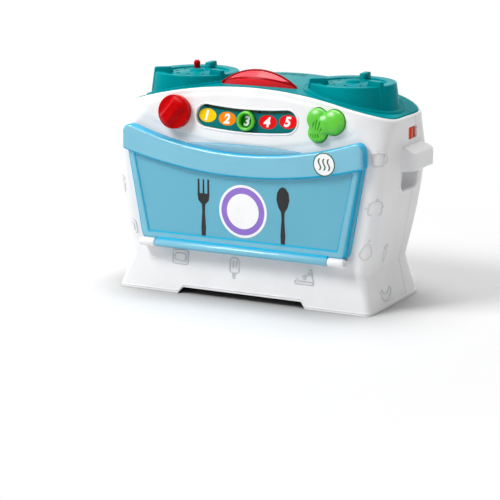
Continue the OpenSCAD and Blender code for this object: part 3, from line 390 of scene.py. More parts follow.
# %% [markdown]
# ## From a bmesh to a piece
# Every new piece is a bmesh that operators shape. These helpers turn it into an
# object, give it its finish and soft shading, and let it ride on a body of the
# frame. A piece that stands for a CAD part names it.

# %% Pieces
def scratch(bm, name="scratch"):
    """A bmesh as a plain object, such as a tool for the Boolean modifier."""
    bmesh.ops.recalc_face_normals(bm, faces=bm.faces)
    mesh = bpy.data.meshes.new(name)
    bm.to_mesh(mesh)
    bm.free()
    return linked(name, mesh)


def dress(ob, paint, body, sharp=35, replaces=()):
    """Gives a mesh object its material, soft shading and body, and hides the CAD parts it replaces."""
    mesh = ob.data
    if paint and not mesh.materials:
        mesh.materials.append(paint)
    mesh.polygons.foreach_set("use_smooth", [True] * len(mesh.polygons))
    mesh.set_sharp_from_angle(angle=math.radians(sharp))
    if body:
        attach(ob, body)
    if replaces:
        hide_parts(*replaces)
    return ob


def to_object(bm, name, paint, body, sharp=35, replaces=()):
    """Finishes a bmesh as a piece of the oven."""
    bmesh.ops.remove_doubles(bm, verts=bm.verts, dist=1e-6)
    return dress(scratch(bm, name), paint, body, sharp, replaces)


def shift(bm, offset):
    """Moves a bmesh."""
    bmesh.ops.translate(bm, vec=offset, verts=bm.verts)
    return bm


# %% [markdown]
# ## A skin through rings
# Most mouldings here are skins through a stack of rings, as a loft is in other
# programs. The first ring is drawn, and each further one is an extrusion of the
# ring before it, whose points then move to their places.

# %% Loft
def loft(rings, closed_ends=True, round_trip=False):
    """A skin through rings of points. Each ring is an extrusion of the one before."""
    bm = bmesh.new()
    loop = [bm.verts.new(p) for p in rings[0]]
    edges = [bm.edges.new((loop[i - 1], loop[i])) for i in range(len(loop))]
    first_edges = edges
    if closed_ends:
        bm.faces.new(loop)
    order = {v: i for i, v in enumerate(loop)}
    for ring in rings[1:]:
        grown = bmesh.ops.extrude_edge_only(bm, edges=edges)["geom"]
        fresh = [v for v in grown if isinstance(v, bmesh.types.BMVert)]
        edges = [e for e in grown if isinstance(e, bmesh.types.BMEdge)]
        placed = {}
        for v in fresh:
            before = next(e.other_vert(v) for e in v.link_edges if e.other_vert(v) in order)
            placed[v] = order[before]
            v.co = ring[order[before]]
        order = placed
    if closed_ends:
        loop = sorted(order, key=order.get)
        bm.faces.new(loop)
    if round_trip:
        bmesh.ops.bridge_loops(bm, edges=edges + first_edges)
    bmesh.ops.recalc_face_normals(bm, faces=bm.faces)
    return bm


tower = loft([[(0, 0, level), (1, 0, level), (1, 1, level), (0, 1, level)] for level in range(3)])
print("a tower of two cubes has", len(tower.faces), "faces")
tower.free()

# %% [markdown]
# ## Outlines
# An outline is a list of points: arcs, and corners that are rounded to a
# radius. A prism is the loft between two copies of an outline. The roll helper
# gives the steps over a rounded edge, for the many rims that roll over.

# %% Outlines
def arc_at(cx, cy, radius, angles, tall=None):
    """Points of a circle at angles in degrees. A second radius makes it an ellipse."""
    turns = [math.radians(angle) for angle in angles]
    return [(cx + radius * math.cos(a), cy + (tall or radius) * math.sin(a)) for a in turns]


def arc(cx, cy, radius, start, turn, steps, tall=None):
    """Points of an arc in equal steps."""
    return arc_at(cx, cy, radius, [start + turn * i / steps for i in range(steps + 1)], tall)


def disc_outline(x, z, radius, steps=64, tall=None):
    """A whole circle or ellipse."""
    return arc(x, z, radius, 0, 360, steps, tall)[:-1]


def roll(radius, angles):
    """How far in, and how far below the top, a rounded edge is at each angle."""
    return [(radius * (1 - math.cos(math.radians(a))), radius * (1 - math.sin(math.radians(a))))
            for a in angles]


def rounded(corners, radii, steps=8):
    """An outline with each corner rounded to its own radius."""
    points = []
    count = len(corners)
    for i, corner in enumerate(corners):
        here = Vector(corner)
        if radii[i] <= 0:
            points.append(tuple(here))
            continue
        back = (Vector(corners[i - 1]) - here).normalized()
        ahead = (Vector(corners[(i + 1) % count]) - here).normalized()
        half = back.angle(ahead) / 2
        centre = here + (back + ahead).normalized() * radii[i] / math.sin(half)
        first = here + back * radii[i] / math.tan(half) - centre
        last = here + ahead * radii[i] / math.tan(half) - centre
        start = math.degrees(math.atan2(first.y, first.x))
        turn = (math.degrees(math.atan2(last.y, last.x)) - start + 540) % 360 - 180
        points += arc(centre.x, centre.y, radii[i], start, turn, steps)
    return points


def box_outline(x0, y0, x1, y1, radius, steps=8):
    """A rectangle with rounded corners."""
    return rounded([(x0, y0), (x1, y0), (x1, y1), (x0, y1)], [radius] * 4, steps)


def prism(outline, low, high, axis="z"):
    """A solid with a flat outline. Along y the outline is in XZ, along x in YZ."""
    turn = {"z": lambda a, b, h: (a, b, h), "y": lambda a, b, h: (a, h, b),
            "x": lambda a, b, h: (h, a, b)}[axis]
    return loft([[turn(a, b, low) for a, b in outline], [turn(a, b, high) for a, b in outline]])


print("a 2 mm edge rolls over by", [round(inward / mm, 2) for inward, _ in roll(2 * mm, (0, 45, 90))])

# %% [markdown]
# ## Cutting
# The Boolean modifier cuts, joins or crosses two closed solids. Its exact solver
# also copes with faces that lie on each other. Each cut is applied at once, so a
# finished piece keeps no modifier.

# %% Cutting
def baked(ob):
    """The mesh of an object with its modifiers, or of a curve or a text."""
    bpy.context.view_layer.update()
    return bpy.data.meshes.new_from_object(
        ob.evaluated_get(bpy.context.evaluated_depsgraph_get()))


def applied(ob):
    """Puts an object's modifiers into its mesh."""
    old = ob.data
    done = baked(ob)
    ob.modifiers.clear()
    ob.data = done
    bpy.data.meshes.remove(old)
    return ob


def carve(ob, tools, operation="DIFFERENCE"):
    """Cuts, joins or crosses an object with bmesh tools, one after the other."""
    for tool in tools:
        cutter = scratch(tool)
        change = ob.modifiers.new("cut", "BOOLEAN")
        change.operation, change.solver, change.object = operation, "EXACT", cutter
        applied(ob)
        bpy.data.objects.remove(cutter)
    return ob


def taken(ob):
    """An object's mesh as a bmesh. The object itself goes."""
    bm = bmesh.new()
    bm.from_mesh(ob.data)
    bpy.data.objects.remove(ob)
    return bm


print("cuts are applied at once, by the exact solver")

# %% [markdown]
# ## The casing's sizes
# The casing swells from a waist near the table to a belly at mid height, draws
# in again at the shoulders, and its top, the crown, is a long arch. The foot
# runs out below the waist. Most of these are the CAD's own sizes. Heights start
# at the table, widths are whole, and depths run to the front and to the back
# from the middle.

# %% Casing sizes
body_w, waist_w, foot_w = 333 * mm, 297 * mm, 318 * mm
waist_z, belly_z, crown_z = 42 * mm, 165 * mm, 238 * mm
arch_r = 495 * mm
shoulder, shoulder_bulge, bulge_run = 34 * mm, 35 * mm, 42 * mm
front_y, back_y, back_tuck = 62.8 * mm, 78.5 * mm, 10.5 * mm
hinge_y, hinge_z = 73.5 * mm, 56.5 * mm
foot_run = 11.2 * mm
lean = math.radians(8)
front_corner, back_corner = 14 * mm, 30 * mm
front_swell, back_swell, swell_run, foot_pinch = 22 * mm, 13 * mm, 46 * mm, 7 * mm
wall = 2.6 * mm
seam_y, seam_gap = 27.5 * mm, 0.85 * mm
print("casing", round(body_w / mm), "mm wide at", round(belly_z / mm), "mm up")

# %% [markdown]
# ### The casing's form
# One function gives half the width at a height, two more give the front and the
# back. A ring of the casing is a rounded rectangle between them, whose corners
# widen above the belly and get sharper at the foot. Near the top the sides stand
# further out behind the front corners, a bulge that gives broad shoulders.

# %% Casing form
def smooth(t):
    """A soft step from 0 to 1."""
    t = min(1.0, max(0.0, t))
    return t * t * (3 - 2 * t)


def arch_z(x):
    """Height of the arched top at a place across."""
    return crown_z - arch_r + math.sqrt(arch_r ** 2 - x * x)


def half_w(z):
    """Half the casing's width at a height."""
    if z < waist_z:
        return foot_w / 2 + (waist_w - foot_w) / 2 * z / waist_z
    if z < belly_z:
        return body_w / 2 - (body_w - waist_w) / 2 * ((belly_z - z) / (belly_z - waist_z)) ** 1.5
    return body_w / 2 - shoulder * ((z - belly_z) / (crown_z - belly_z)) ** 3


def bulge(z, y):
    """How much further out the side is behind the front corner, near the top."""
    high = max(0.0, (z - belly_z) / (crown_z - belly_z)) ** 3
    return shoulder_bulge * high * smooth((y - front(z) - 4 * mm) / bulge_run)


def front(z):
    """Where the front wall is at a height: it runs out at the foot and leans back at the top."""
    if z < hinge_z:
        return -front_y - foot_run * ((hinge_z - z) / hinge_z) ** 1.6
    if z < belly_z:
        return -front_y
    return -front_y + (z - belly_z) * math.tan(lean)


def back(z):
    """Where the back wall is at a height."""
    if z < waist_z:
        return back_y - back_tuck + 0.8 * back_tuck * (waist_z - z) / waist_z
    if z < belly_z:
        return back_y - back_tuck * ((belly_z - z) / (belly_z - waist_z)) ** 1.3
    return back_y - 3 * mm * ((z - belly_z) / (crown_z - belly_z)) ** 2


def corner(z, radius, swell, pinch=0.0):
    """The radius of a corner, which swells above the belly and is pinched at the foot."""
    return radius + swell * smooth((z - belly_z) / swell_run) - pinch * smooth(1.4 - z / waist_z)


print("the arch is", round(arch_z(half_w(crown_z - 25 * mm)) / mm, 1), "mm high at its ends")

# %% [markdown]
# A ring's points keep the same order at every height, so that the skin between
# two rings has no twist: along the front, round a corner, down a side, and so
# on. A point high up needs its height before its width and the other way
# round, so the two are worked out in turn a few times.

# %% Casing rings
long_steps, side_steps, corner_steps = 68, 22, 12
stretches = (("front", long_steps), ("front_right", corner_steps), ("right", side_steps),
             ("back_right", corner_steps), ("back", long_steps), ("back_left", corner_steps),
             ("left", side_steps), ("front_left", corner_steps))
ring_places = [(stretch, i / steps) for stretch, steps in stretches for i in range(steps)]


def box_point(stretch, t, half, low, high, r_front, r_back):
    """A point of a rounded rectangle, |x| up to half and y from low to high.

    The left side mirrors the right one, run the other way.
    """
    turn = math.radians(90 * t)
    if stretch == "front":
        return (half - r_front) * (2 * t - 1), low
    if stretch == "front_right":
        return half - r_front + r_front * math.sin(turn), low + r_front - r_front * math.cos(turn)
    if stretch == "right":
        return half, low + r_front + (high - r_back - low - r_front) * t
    if stretch == "back_right":
        return half - r_back + r_back * math.cos(turn), high - r_back + r_back * math.sin(turn)
    if stretch == "back":
        return (half - r_back) * (1 - 2 * t), high
    x, y = box_point(stretch.replace("left", "right"), 1 - t, half, low, high, r_front, r_back)
    return -x, y


def height(rise, x, drop):
    """rise 0 to 1 is the table to the belly, 1 to 2 the belly to the arch less a drop."""
    if rise <= 1:
        return belly_z * rise
    return belly_z + (arch_z(x) - drop - belly_z) * (rise - 1)


def casing_ring(rise, inset=0.0, drop=0.0):
    """A ring of the casing, drawn in by an inset. Above the belly it bends to the arch."""
    ring = []
    for stretch, t in ring_places:
        x = 0.0
        for _ in range(4):
            z = height(rise, x, drop)
            x, y = box_point(stretch, t, half_w(z) - inset, front(z) + inset, back(z) - inset,
                             max(corner(z, front_corner, front_swell, foot_pinch) - inset, 2 * mm),
                             max(corner(z, back_corner, back_swell) - inset, 2 * mm))
            x *= 1 + bulge(z, y) / half_w(z)
        ring.append((x, y, z))
    return ring


print("points in a ring:", len(casing_ring(0)))

# %% [markdown]
# ## The control panel's relief
# The white panel round the controls stands 1.2 mm proud, with a soft border in
# the shape of a lens. The panel leans back 8 degrees. A point's distance inside
# the two arcs that bound the lens gives how far it is raised. What sits on the
# panel is drawn upright round its middle and then leaned back with it.

# %% Panel relief
number_z = 202 * mm
panel_raise = 1.2 * mm
low_arc_r, low_arc_top = 481 * mm, 30 * mm
high_arc_r, high_arc_low = 348 * mm, -28 * mm
panel_origin = Vector((0, front(number_z) - panel_raise, number_z))
panel_turn = Matrix.Rotation(-lean, 4, "X")
to_panel = Matrix.Translation(panel_origin) @ panel_turn


def relief(x, z):
    """How far the casing's front is raised, in metres."""
    up = (z - number_z) / math.cos(lean)
    inside = min(low_arc_r - math.hypot(x, up - (low_arc_top - low_arc_r)),
                 high_arc_r - math.hypot(x, up - (high_arc_low + high_arc_r)))
    return panel_raise * smooth((inside + 1.5 * mm) / (4 * mm))


def raise_panel(points):
    """Moves the points on the front wall out by the relief, and leaves the rest."""
    return [(x, y - relief(x, z) * smooth((front(z) + 3 * mm - y) / (2.8 * mm)), z)
            if z > belly_z else (x, y, z) for x, y, z in points]


def on_panel(bm):
    """Takes a bmesh from the control panel's frame to the oven's."""
    bmesh.ops.transform(bm, matrix=to_panel, verts=bm.verts)
    return bm


print("relief at the middle:", round(relief(0, number_z) / mm, 2), "mm")

# %% [markdown]
# ## The casing
# The skin starts at the table, goes up the outside, rolls over the top edge,
# drops into the seat of the teal cover and comes back down on the inside. The
# last ring is bridged to the first, so it is one closed wall, as moulded. The
# crease above the foot runs uphill towards the back. The cover's edge stands
# 0.9 mm over the arch, so the casing's top edge meets it in a shallow groove.

# %% Casing
crease = waist_z / belly_z
crease_fade, crease_low, crease_span = 0.35, -3 * mm, 7 * mm
foot_rise = 0.0006
top_roll, seat_drop = 2.4 * mm, 5.6 * mm
cover_rim, cover_lift = 3.4 * mm, 0.9 * mm
cover_front, cover_back = front(crown_z) + cover_rim, back(crown_z) - cover_rim


def cover_ring(grow, drop):
    """A ring on the edge of the teal cover, a drop below the arch."""
    return casing_ring(2, cover_rim - grow, drop)


def tilt_crease(points, rise):
    """Moves the crease down at the front and up at the back."""
    near = rise / crease if rise < crease else max(0.0, 1 - (rise - crease) / crease_fade)
    return [(x, y, z + near * (crease_low + crease_span * smooth((y + front_y) / (front_y + back_y))))
            for x, y, z in points]


rises = ([foot_rise + (crease - foot_rise) * i / 10 for i in range(11)]
         + [crease + (1 - crease) * i / 30 for i in range(1, 31)])
skin = [tilt_crease(casing_ring(rise), rise) for rise in rises]
skin += [raise_panel(casing_ring(1 + i / 34, 0, top_roll)) for i in range(1, 35)]
skin += [raise_panel(casing_ring(2, inward, drop)) for inward, drop in roll(top_roll, range(18, 91, 18))]
skin += [cover_ring(grow * mm, drop * mm)
         for grow, drop in ((0.8, 0.0), (0.65, 0.1), (0.5, 0.4), (0.3, 0.9), (0.3, 3.0), (-4, 3.0))]
skin.append(cover_ring(-4 * mm, seat_drop))
skin += [casing_ring(rise, wall, seat_drop) for rise in (1.97, 1.7, 1.4, 1.15)]
skin += [tilt_crease(casing_ring(rise, wall), rise)
         for rise in (1.0, 0.85, 0.7, 0.55, 0.42, crease, 0.13, foot_rise)]
print("rings in the casing's skin:", len(skin))

# %% [markdown]
# ### Outlines of the controls
# The number slot is a bent bar, two long arcs and two round ends, and the green
# button's hole has three lobes. Later pieces use the same outlines a little
# smaller, so what fills a hole always fits it. The lobes' outline asks, in each
# direction from its middle, how far the furthest of three discs reaches.

# %% Control outlines
knob_x, button_x, control_up = 88 * mm, 100 * mm, 4 * mm
number_r, number_pitch, slot_h = 470 * mm, 25.3 * mm, 24 * mm
lobe_r = 12.3 * mm
button_circles = ((-11.6 * mm, 4.6 * mm, lobe_r), (7.4 * mm, 2.4 * mm, lobe_r + 1.5 * mm),
                  (-10.2 * mm, -9.6 * mm, lobe_r - 1 * mm))


def bar_outline(h, steps=28):
    """The bent bar of the number row, in the panel's own frame."""
    end_x = 2 * number_pitch
    bend = math.degrees(math.asin(end_x / number_r))
    end_z = number_r * (1 - math.cos(math.radians(bend)))
    low = arc(0, number_r, number_r + h / 2, -90 - bend, 2 * bend, steps)
    high = arc(0, number_r, number_r - h / 2, -90 + bend, -2 * bend, steps)
    right = arc(end_x, end_z, h / 2, -90 + bend, 180, 16)[1:-1]
    left = arc(-end_x, end_z, h / 2, 90 - bend, 180, 16)[1:-1]
    return low + right + high + left


def lobed_outline(grow, steps=96):
    """The green button's outline: how far three discs reach in each direction."""
    points = []
    for i in range(steps):
        turn = 2 * math.pi * i / steps
        ux, uz = math.cos(turn), math.sin(turn)
        far = 0.0
        for cx, cz, radius in button_circles:
            along, across = cx * ux + cz * uz, cx * uz - cz * ux
            if abs(across) < radius + grow:
                far = max(far, along + math.sqrt((radius + grow) ** 2 - across ** 2))
        points.append((button_x + far * ux, control_up + far * uz))
    return points


print("points of the slot:", len(bar_outline(slot_h)), " of the lobes:", len(lobed_outline(0)))

# %% [markdown]
# ### Outlines of the walls' openings
# The oven's mouth sags along its top, as the door's band does, so both come from
# one arc that hangs down in the middle, the smile. The finger pockets and the
# power switch's window are rounded boxes, and the gap between the feet is a
# low trapezium.

# %% Wall outlines
def smile(x, mid_z, radius):
    """Height of an arc that hangs down to mid_z in the middle."""
    return mid_z + radius - math.sqrt(radius * radius - x * x)


def smile_points(half, mid_z, radius, steps=24):
    """The arc from minus half to half across."""
    return [(x, smile(x, mid_z, radius))
            for x in (-half + 2 * half * i / steps for i in range(steps + 1))]


def sag_panel(bottom_half, z0, top_half, mid_z, radius, low_corner, high_corner):
    """A panel that widens upwards to a sagging top edge."""
    top = smile_points(top_half, mid_z, radius)[::-1]
    radii = [low_corner] * 2 + [high_corner] + [0] * (len(top) - 2) + [high_corner]
    return rounded([(-bottom_half, z0), (bottom_half, z0)] + top, radii)


band_edge_r = 543 * mm
mouth = sag_panel(122.5 * mm, 66 * mm, 137 * mm, 144.5 * mm, band_edge_r, 6 * mm, 5 * mm)
grip_y, grip_w, grip_low, grip_top = 16.5 * mm, 51 * mm, 150 * mm, 175.5 * mm
pocket_low, pocket_top, pocket_corner, pocket_lip = 127 * mm, 158 * mm, 11 * mm, 1.4 * mm
pocket_half = grip_w / 2 - 1.6 * mm


def pocket_outline(grow):
    """A finger pocket's outline, seen from the side."""
    return box_outline(grip_y - pocket_half - grow, pocket_low - grow,
                       grip_y + pocket_half + grow, pocket_top + grow,
                       max(pocket_corner + grow, 0.5 * mm))


switch_y, switch_z, switch_w, switch_h = 20 * mm, 190.5 * mm, 22 * mm, 13.4 * mm
window = box_outline(switch_y - switch_w / 2, switch_z - switch_h / 2,
                     switch_y + switch_w / 2, switch_z + switch_h / 2, 2.2 * mm)
notch_w, notch_h, notch_run = 150 * mm, 7.3 * mm, 6 * mm
notch_foot = notch_w / 2 + notch_run + 1 * mm
notch = rounded([(-notch_foot, -1 * mm), (notch_foot, -1 * mm), (notch_w / 2, notch_h),
                 (-notch_w / 2, notch_h)], [0, 0, 2 * mm, 2 * mm])
print("mouth", round(2 * max(x for x, _ in mouth) / mm), "mm wide, gap between the feet",
      round(notch_w / mm), "mm")

# %% [markdown]
# ### Screw wells
# Six screws join the two halves. They sit deep in wells in the back, one pair
# above the other, as on such toys. Their places follow the same widths as the
# CAD's, and the highest pair lines up with the highest screw head.

# %% Screw wells
well_r, screw_head_r, low_well_z, mid_well_z = 3.4 * mm, 2.9 * mm, 0.6 * waist_z, 76 * mm
wells = ((half_w(low_well_z) - 8.5 * mm, low_well_z), (half_w(mid_well_z) - 10 * mm, mid_well_z),
         (half_w(crown_z - 33 * mm) - 10 * mm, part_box("shell_screws")[1][2] - screw_head_r))
well_cuts = [prism(disc_outline(side * x, z, well_r), seam_y + 8 * mm, 0.12, "y")
             for side in (-1, 1) for x, z in wells]
print("screw wells at", [(round(x / mm, 1), round(z / mm, 1)) for x, z in wells])

# %% [markdown]
# ### Cutting the casing
# Each cut is a prism that only has to reach through the wall it opens, from
# well outside it to well inside. Those of the controls lean back with the panel.

# %% Openings
outside, inside = -6 * mm, 8 * mm
cuts = [prism(mouth, -0.09, -0.05, "y"), prism(notch, -0.12, 0.12, "y"),
        on_panel(prism(bar_outline(slot_h + 1 * mm), outside, inside, "y")),
        on_panel(prism(disc_outline(-knob_x, control_up, 4 * mm), outside, inside, "y")),
        on_panel(prism(lobed_outline(0.8 * mm), outside, inside + 1 * mm, "y")),
        prism(window, 0.15, 0.18, "x")]
cuts += [prism(pocket_outline(pocket_lip), side * 0.152, side * 0.172, "x") for side in (-1, 1)]
casing_ob = carve(scratch(loft(skin, False, True), "casing_skin"), cuts + well_cuts)
print("casing faces:", len(casing_ob.data.polygons))

# %% [markdown]
# ### Two halves
# The real casing is moulded in two halves that meet at a seam down each side. A
# plane cuts off what lies beyond the seam, the cut wall is filled, and a hair of
# a gap between the halves shows as the dark line of the real seam.

# %% Two halves
for name, at, node in (("front_casing", seam_y - seam_gap / 2, "front_shell"),
                       ("rear_casing", seam_y + seam_gap / 2, "rear_shell")):
    half = bmesh.new()
    half.from_mesh(casing_ob.data)
    is_front = node == "front_shell"
    bmesh.ops.bisect_plane(half, geom=half.verts[:] + half.edges[:] + half.faces[:],
                           plane_co=(0, at, 0), plane_no=(0, 1, 0),
                           clear_outer=is_front, clear_inner=not is_front)
    bmesh.ops.triangle_fill(half, use_beauty=True, edges=[e for e in half.edges if e.is_boundary])
    print(name, len(half.faces), "faces")
    to_object(half, name, white, "casing", 24, (node,))
bpy.data.objects.remove(casing_ob)

# %% [markdown]
# ### Lip of the foot
# A thin lip runs along the bottom edge and over the gap between the feet. A
# curve with a round bevel follows such a path. It is made a mesh at once, so
# that it is finished like every other piece.

# %% Foot lip
def tubes(name, paths, radius, paint, body, cyclic=False, sides=2):
    """Round tubes along paths, made as curves and turned into a mesh."""
    curve = bpy.data.curves.new(name, "CURVE")
    curve.dimensions = "3D"
    curve.bevel_depth, curve.bevel_resolution = radius, sides
    curve.use_fill_caps = True
    for path in paths:
        spline = curve.splines.new("POLY")
        spline.points.add(len(path) - 1)
        spline.use_cyclic_u = cyclic
        for point, place in zip(spline.points, path):
            point.co = (*place, 1)
    drawn = linked("drawn", curve)
    mesh = baked(drawn)
    mesh.name = name
    bpy.data.objects.remove(drawn)
    return dress(linked(name, mesh), paint, body, 50)


def foot_height(x):
    """Height of the casing's lower edge: a gap with sloping ends in the middle."""
    return notch_h * smooth((notch_w / 2 + notch_run - abs(x)) / notch_run)


lip_up, lip_r = 2.6 * mm, 1.1 * mm
lip = []
for x, y, _ in casing_ring(lip_up / belly_z, lip_r * 0.45):
    z = lip_up + foot_height(x)
    lip.append((x, y + (0 if y > 0 else front(z) - front(lip_up)), z))
tubes("foot_lip", [lip], lip_r, white, "casing", True, 3)
print("the foot's lip has", len(lip), "points")

# %% [markdown]
# ### Rim of the number slot
# The rim stands a little proud of the panel, rolls over and drops into the slot.
# Each pair below is how much larger than the slot a bar is, and its depth.

# %% Slot rim
rim_profile = ((5.8, 0.6), (5.6, -0.2), (5.0, -0.7), (4.2, -0.95), (3.2, -1.05), (2.2, -0.95),
               (1.5, -0.6), (1.05, -0.1), (1.0, 0.8), (1.0, 3.9))
rim = loft([[(x, depth * mm, z) for x, z in bar_outline(slot_h + more * mm)]
            for more, depth in rim_profile], False, True)
to_object(on_panel(rim), "number_rim", white_trim, "casing", 40)
print("rim stands", round(-min(depth for _, depth in rim_profile), 2), "mm proud")

# %% [markdown]
# ## Turned shapes and bevels
# Barrels, drums, the knob and the pin are turned shapes, as if made on a lathe.
# The spin operator sweeps a profile round its axis, which is the quickest way to
# them. Flat slabs get their soft edges from the bevel operator, which here takes
# each edge that turns by more than an angle.

# %% Spinning and bevels
def spun(profile, steps=64, axis=(0, 0, 1), centre=(0, 0, 0)):
    """A closed solid: a profile of (radius, height) turned about the Z axis."""
    bm = bmesh.new()
    verts = [bm.verts.new((r, 0, h)) for r, h in profile]
    edges = [bm.edges.new(pair) for pair in zip(verts, verts[1:])]
    bmesh.ops.spin(bm, geom=verts + edges, cent=(0, 0, 0), axis=(0, 0, 1),
                   angle=2 * math.pi, steps=steps, use_merge=True)
    bmesh.ops.remove_doubles(bm, verts=bm.verts, dist=1e-6)
    turn = Vector((0, 0, 1)).rotation_difference(Vector(axis)).to_matrix().to_4x4()
    bmesh.ops.transform(bm, matrix=Matrix.Translation(centre) @ turn, verts=bm.verts)
    bmesh.ops.recalc_face_normals(bm, faces=bm.faces)
    return bm


def bevel_all(bm, width, segments=3, angle=30):
    """Rounds the edges that turn by more than an angle."""
    edges = [e for e in bm.edges if len(e.link_faces) == 2
             and e.calc_face_angle(0) > math.radians(angle)]
    bmesh.ops.bevel(bm, geom=edges, offset=width, affect="EDGES", segments=segments,
                    profile=0.5, material=-1, clamp_overlap=True)
    return bm


trial = bevel_all(spun([(0, 0), (4 * mm, 0), (4 * mm, 4 * mm), (0, 4 * mm)], 16), 1 * mm)
print("a bevelled button has", len(trial.faces), "faces")
trial.free()

# %% [markdown]
# ### Hinge bosses
# Two white barrels hold the steel pins of the door, each on a bracket that grows
# out of the casing. The barrel is a profile spun about the hinge line, with a
# dimple where the pin's end shows, and the bracket a slab with bevelled edges.

# %% Hinge bosses
sides = ((1, "right"), (-1, "left"))
barrel_w, barrel_d, pin_d = 217.6 * mm, 9 * mm, 4 * mm
boss_x, boss_w, boss_r, boss_soft = barrel_w / 2 + 0.5 * mm, 19.4 * mm, 5 * mm, 1.2 * mm
dimple_r, dimple_deep = pin_d / 2 + 0.1 * mm, 1.6 * mm
boss_line = [(0, 0)] + arc(boss_r - boss_soft, boss_soft, boss_soft, -90, 90, 3)
boss_line += arc(boss_r - boss_soft, boss_w - boss_soft, boss_soft, 0, 90, 3)
boss_line += [(dimple_r + 0.4 * mm, boss_w), (dimple_r, boss_w - 0.3 * mm), (dimple_r, boss_w - dimple_deep),
              (0, boss_w - dimple_deep)]
for side, word in sides:
    to_object(spun(boss_line, 40, (side, 0, 0), (side * boss_x, -hinge_y, hinge_z)),
              "hinge_boss_" + word, white_trim, "casing", 40)
    web = prism([(-hinge_y, hinge_z - boss_r), (-front_y + 1 * mm, hinge_z - boss_r - 1 * mm),
                 (-front_y + 1 * mm, hinge_z + 2.5 * mm), (-hinge_y, hinge_z + 1.5 * mm)],
                side * boss_x, side * (boss_x + boss_w), "x")
    to_object(bevel_all(web, 0.8 * mm), "hinge_bracket_" + word, white_trim, "casing",
              40)
print("hinge bosses at", round(boss_x / mm, 1), "mm")

# %% [markdown]
# ## Lifting grips
# A hood stands out over a finger pocket in each side. The hood is hollow, with
# edges too soft for a plain bevel. A good way to such a form is to cross three
# rounded slabs with Booleans, remesh the result into even small faces and
# smooth it: every edge melts to a fillet.

# %% Grip hoods
def melted(ob, voxel, passes):
    """Remeshes to even faces and smooths them, so that all edges turn soft."""
    grid = ob.modifiers.new("grid", "REMESH")
    grid.mode, grid.voxel_size = "VOXEL", voxel
    soften = ob.modifiers.new("soften", "SMOOTH")
    soften.factor, soften.iterations = 0.5, passes
    return applied(ob)


def side_prism(outline, side, near, far):
    """A prism along x on one side of the oven, its ends given for the right side."""
    return prism(outline, *sorted((side * near, side * far)), "x")


def plan_prism(side, near, far, y0, y1, radius, low, high):
    """An upright slab on one side, a rounded box when seen from above."""
    x0, x1 = sorted((side * near, side * far))
    return prism(box_outline(x0, y0, x1, y1, radius), low, high)


grip_x = body_w / 2 + 16.5 * mm
hood_wall, hood_corner = 3 * mm, 6 * mm
hood_half = grip_w / 2 - 0.6 * mm
hood_y0, hood_y1 = grip_y - hood_half, grip_y + hood_half + 3 * mm
hood_back, hood_top, hood_x = body_w / 2 - 7 * mm, grip_top + 2.6 * mm, grip_x + 0.1 * mm
hood_view = rounded([(hood_back, grip_low - 1 * mm), (grip_x - 0.5 * mm, grip_low + 2.5 * mm),
                     (hood_x, hood_top - 7 * mm), (body_w / 2 + 2 * mm, hood_top), (hood_back, hood_top)],
                    [0, 1.5 * mm, 4.5 * mm, 7 * mm, 0])
for side, word in sides:
    hood = scratch(prism([(side * x, z) for x, z in hood_view], grip_y - 0.04, grip_y + 0.04, "y"),
                   "grip_hood_" + word)
    carve(hood, [side_prism(box_outline(hood_y0, 0.12, hood_y1, hood_top, hood_corner), side, 0.15, 0.2),
                 plan_prism(side, hood_back - 0.02, hood_x, hood_y0, hood_y1, hood_corner, 0.13, 0.2)],
          "INTERSECT")
    hollow = plan_prism(side, 0.15, grip_x - 3.2 * mm, hood_y0 + hood_wall, hood_y1 - hood_wall, 4 * mm,
                        0.12, grip_top - 8 * mm)
    melted(carve(hood, [hollow]), 0.75 * mm, 8)
    dress(hood, white, "casing", 180, ("handle_" + word,))
print("grips reach", round(grip_x / mm, 1), "mm from the middle")

# %% [markdown]
# ### Finger pockets
# The pocket is a skin that rolls in from the casing's surface, runs straight in
# and rolls again onto its back wall. The skin gets its thickness at the end, so
# the side that shows keeps its exact place. A slot in the back wall lets a
# finger curl up behind the hood.

# %% Finger pockets
pocket_back_x, pocket_wall, back_roll = 143 * mm, 1.4 * mm, 4 * mm


def lip_ring(side, grow, depth):
    """A ring of the pocket that follows the casing's wall, a depth inside it."""
    return [(side * (half_w(z) - depth), y, z) for y, z in pocket_outline(grow)]


def deep_ring(side, grow, x):
    """A flat ring of the pocket, further in."""
    return [(side * x, y, z) for y, z in pocket_outline(grow)]


finger_slot = box_outline(grip_y + 4 * mm, 142 * mm, grip_y + pocket_half - 4 * mm, 155 * mm, 2 * mm)
for side, word in sides:
    rings = [lip_ring(side, pocket_lip, 0.0)]
    rings += [lip_ring(side, outward, inward) for inward, outward in roll(pocket_lip, (30, 60, 90))]
    rings += [deep_ring(side, 0, pocket_back_x + back_roll)]
    rings += [deep_ring(side, -inward, pocket_back_x + rest)
              for inward, rest in roll(back_roll, (30, 60, 90))]
    rings += [deep_ring(side, -12 * mm, pocket_back_x)]
    pocket = loft(rings, False)
    last = [e for e in pocket.edges if e.is_boundary
            and all(abs(abs(v.co.x) - pocket_back_x) < 1e-6 for v in e.verts)]
    bmesh.ops.contextual_create(pocket, geom=last)
    bmesh.ops.recalc_face_normals(pocket, faces=pocket.faces)
    if sum(f.normal.x * side for f in pocket.faces if abs(f.normal.x) > 0.9) < 0:
        bmesh.ops.reverse_faces(pocket, faces=pocket.faces)
    bmesh.ops.solidify(pocket, geom=pocket.faces, thickness=-pocket_wall)
    pocket_ob = to_object(pocket, "grip_pocket_" + word, white, "casing", 40)
    carve(pocket_ob, [side_prism(finger_slot, side, 0.13, 0.15)])
print("pockets reach", round((body_w / 2 - pocket_back_x) / mm, 1), "mm in")

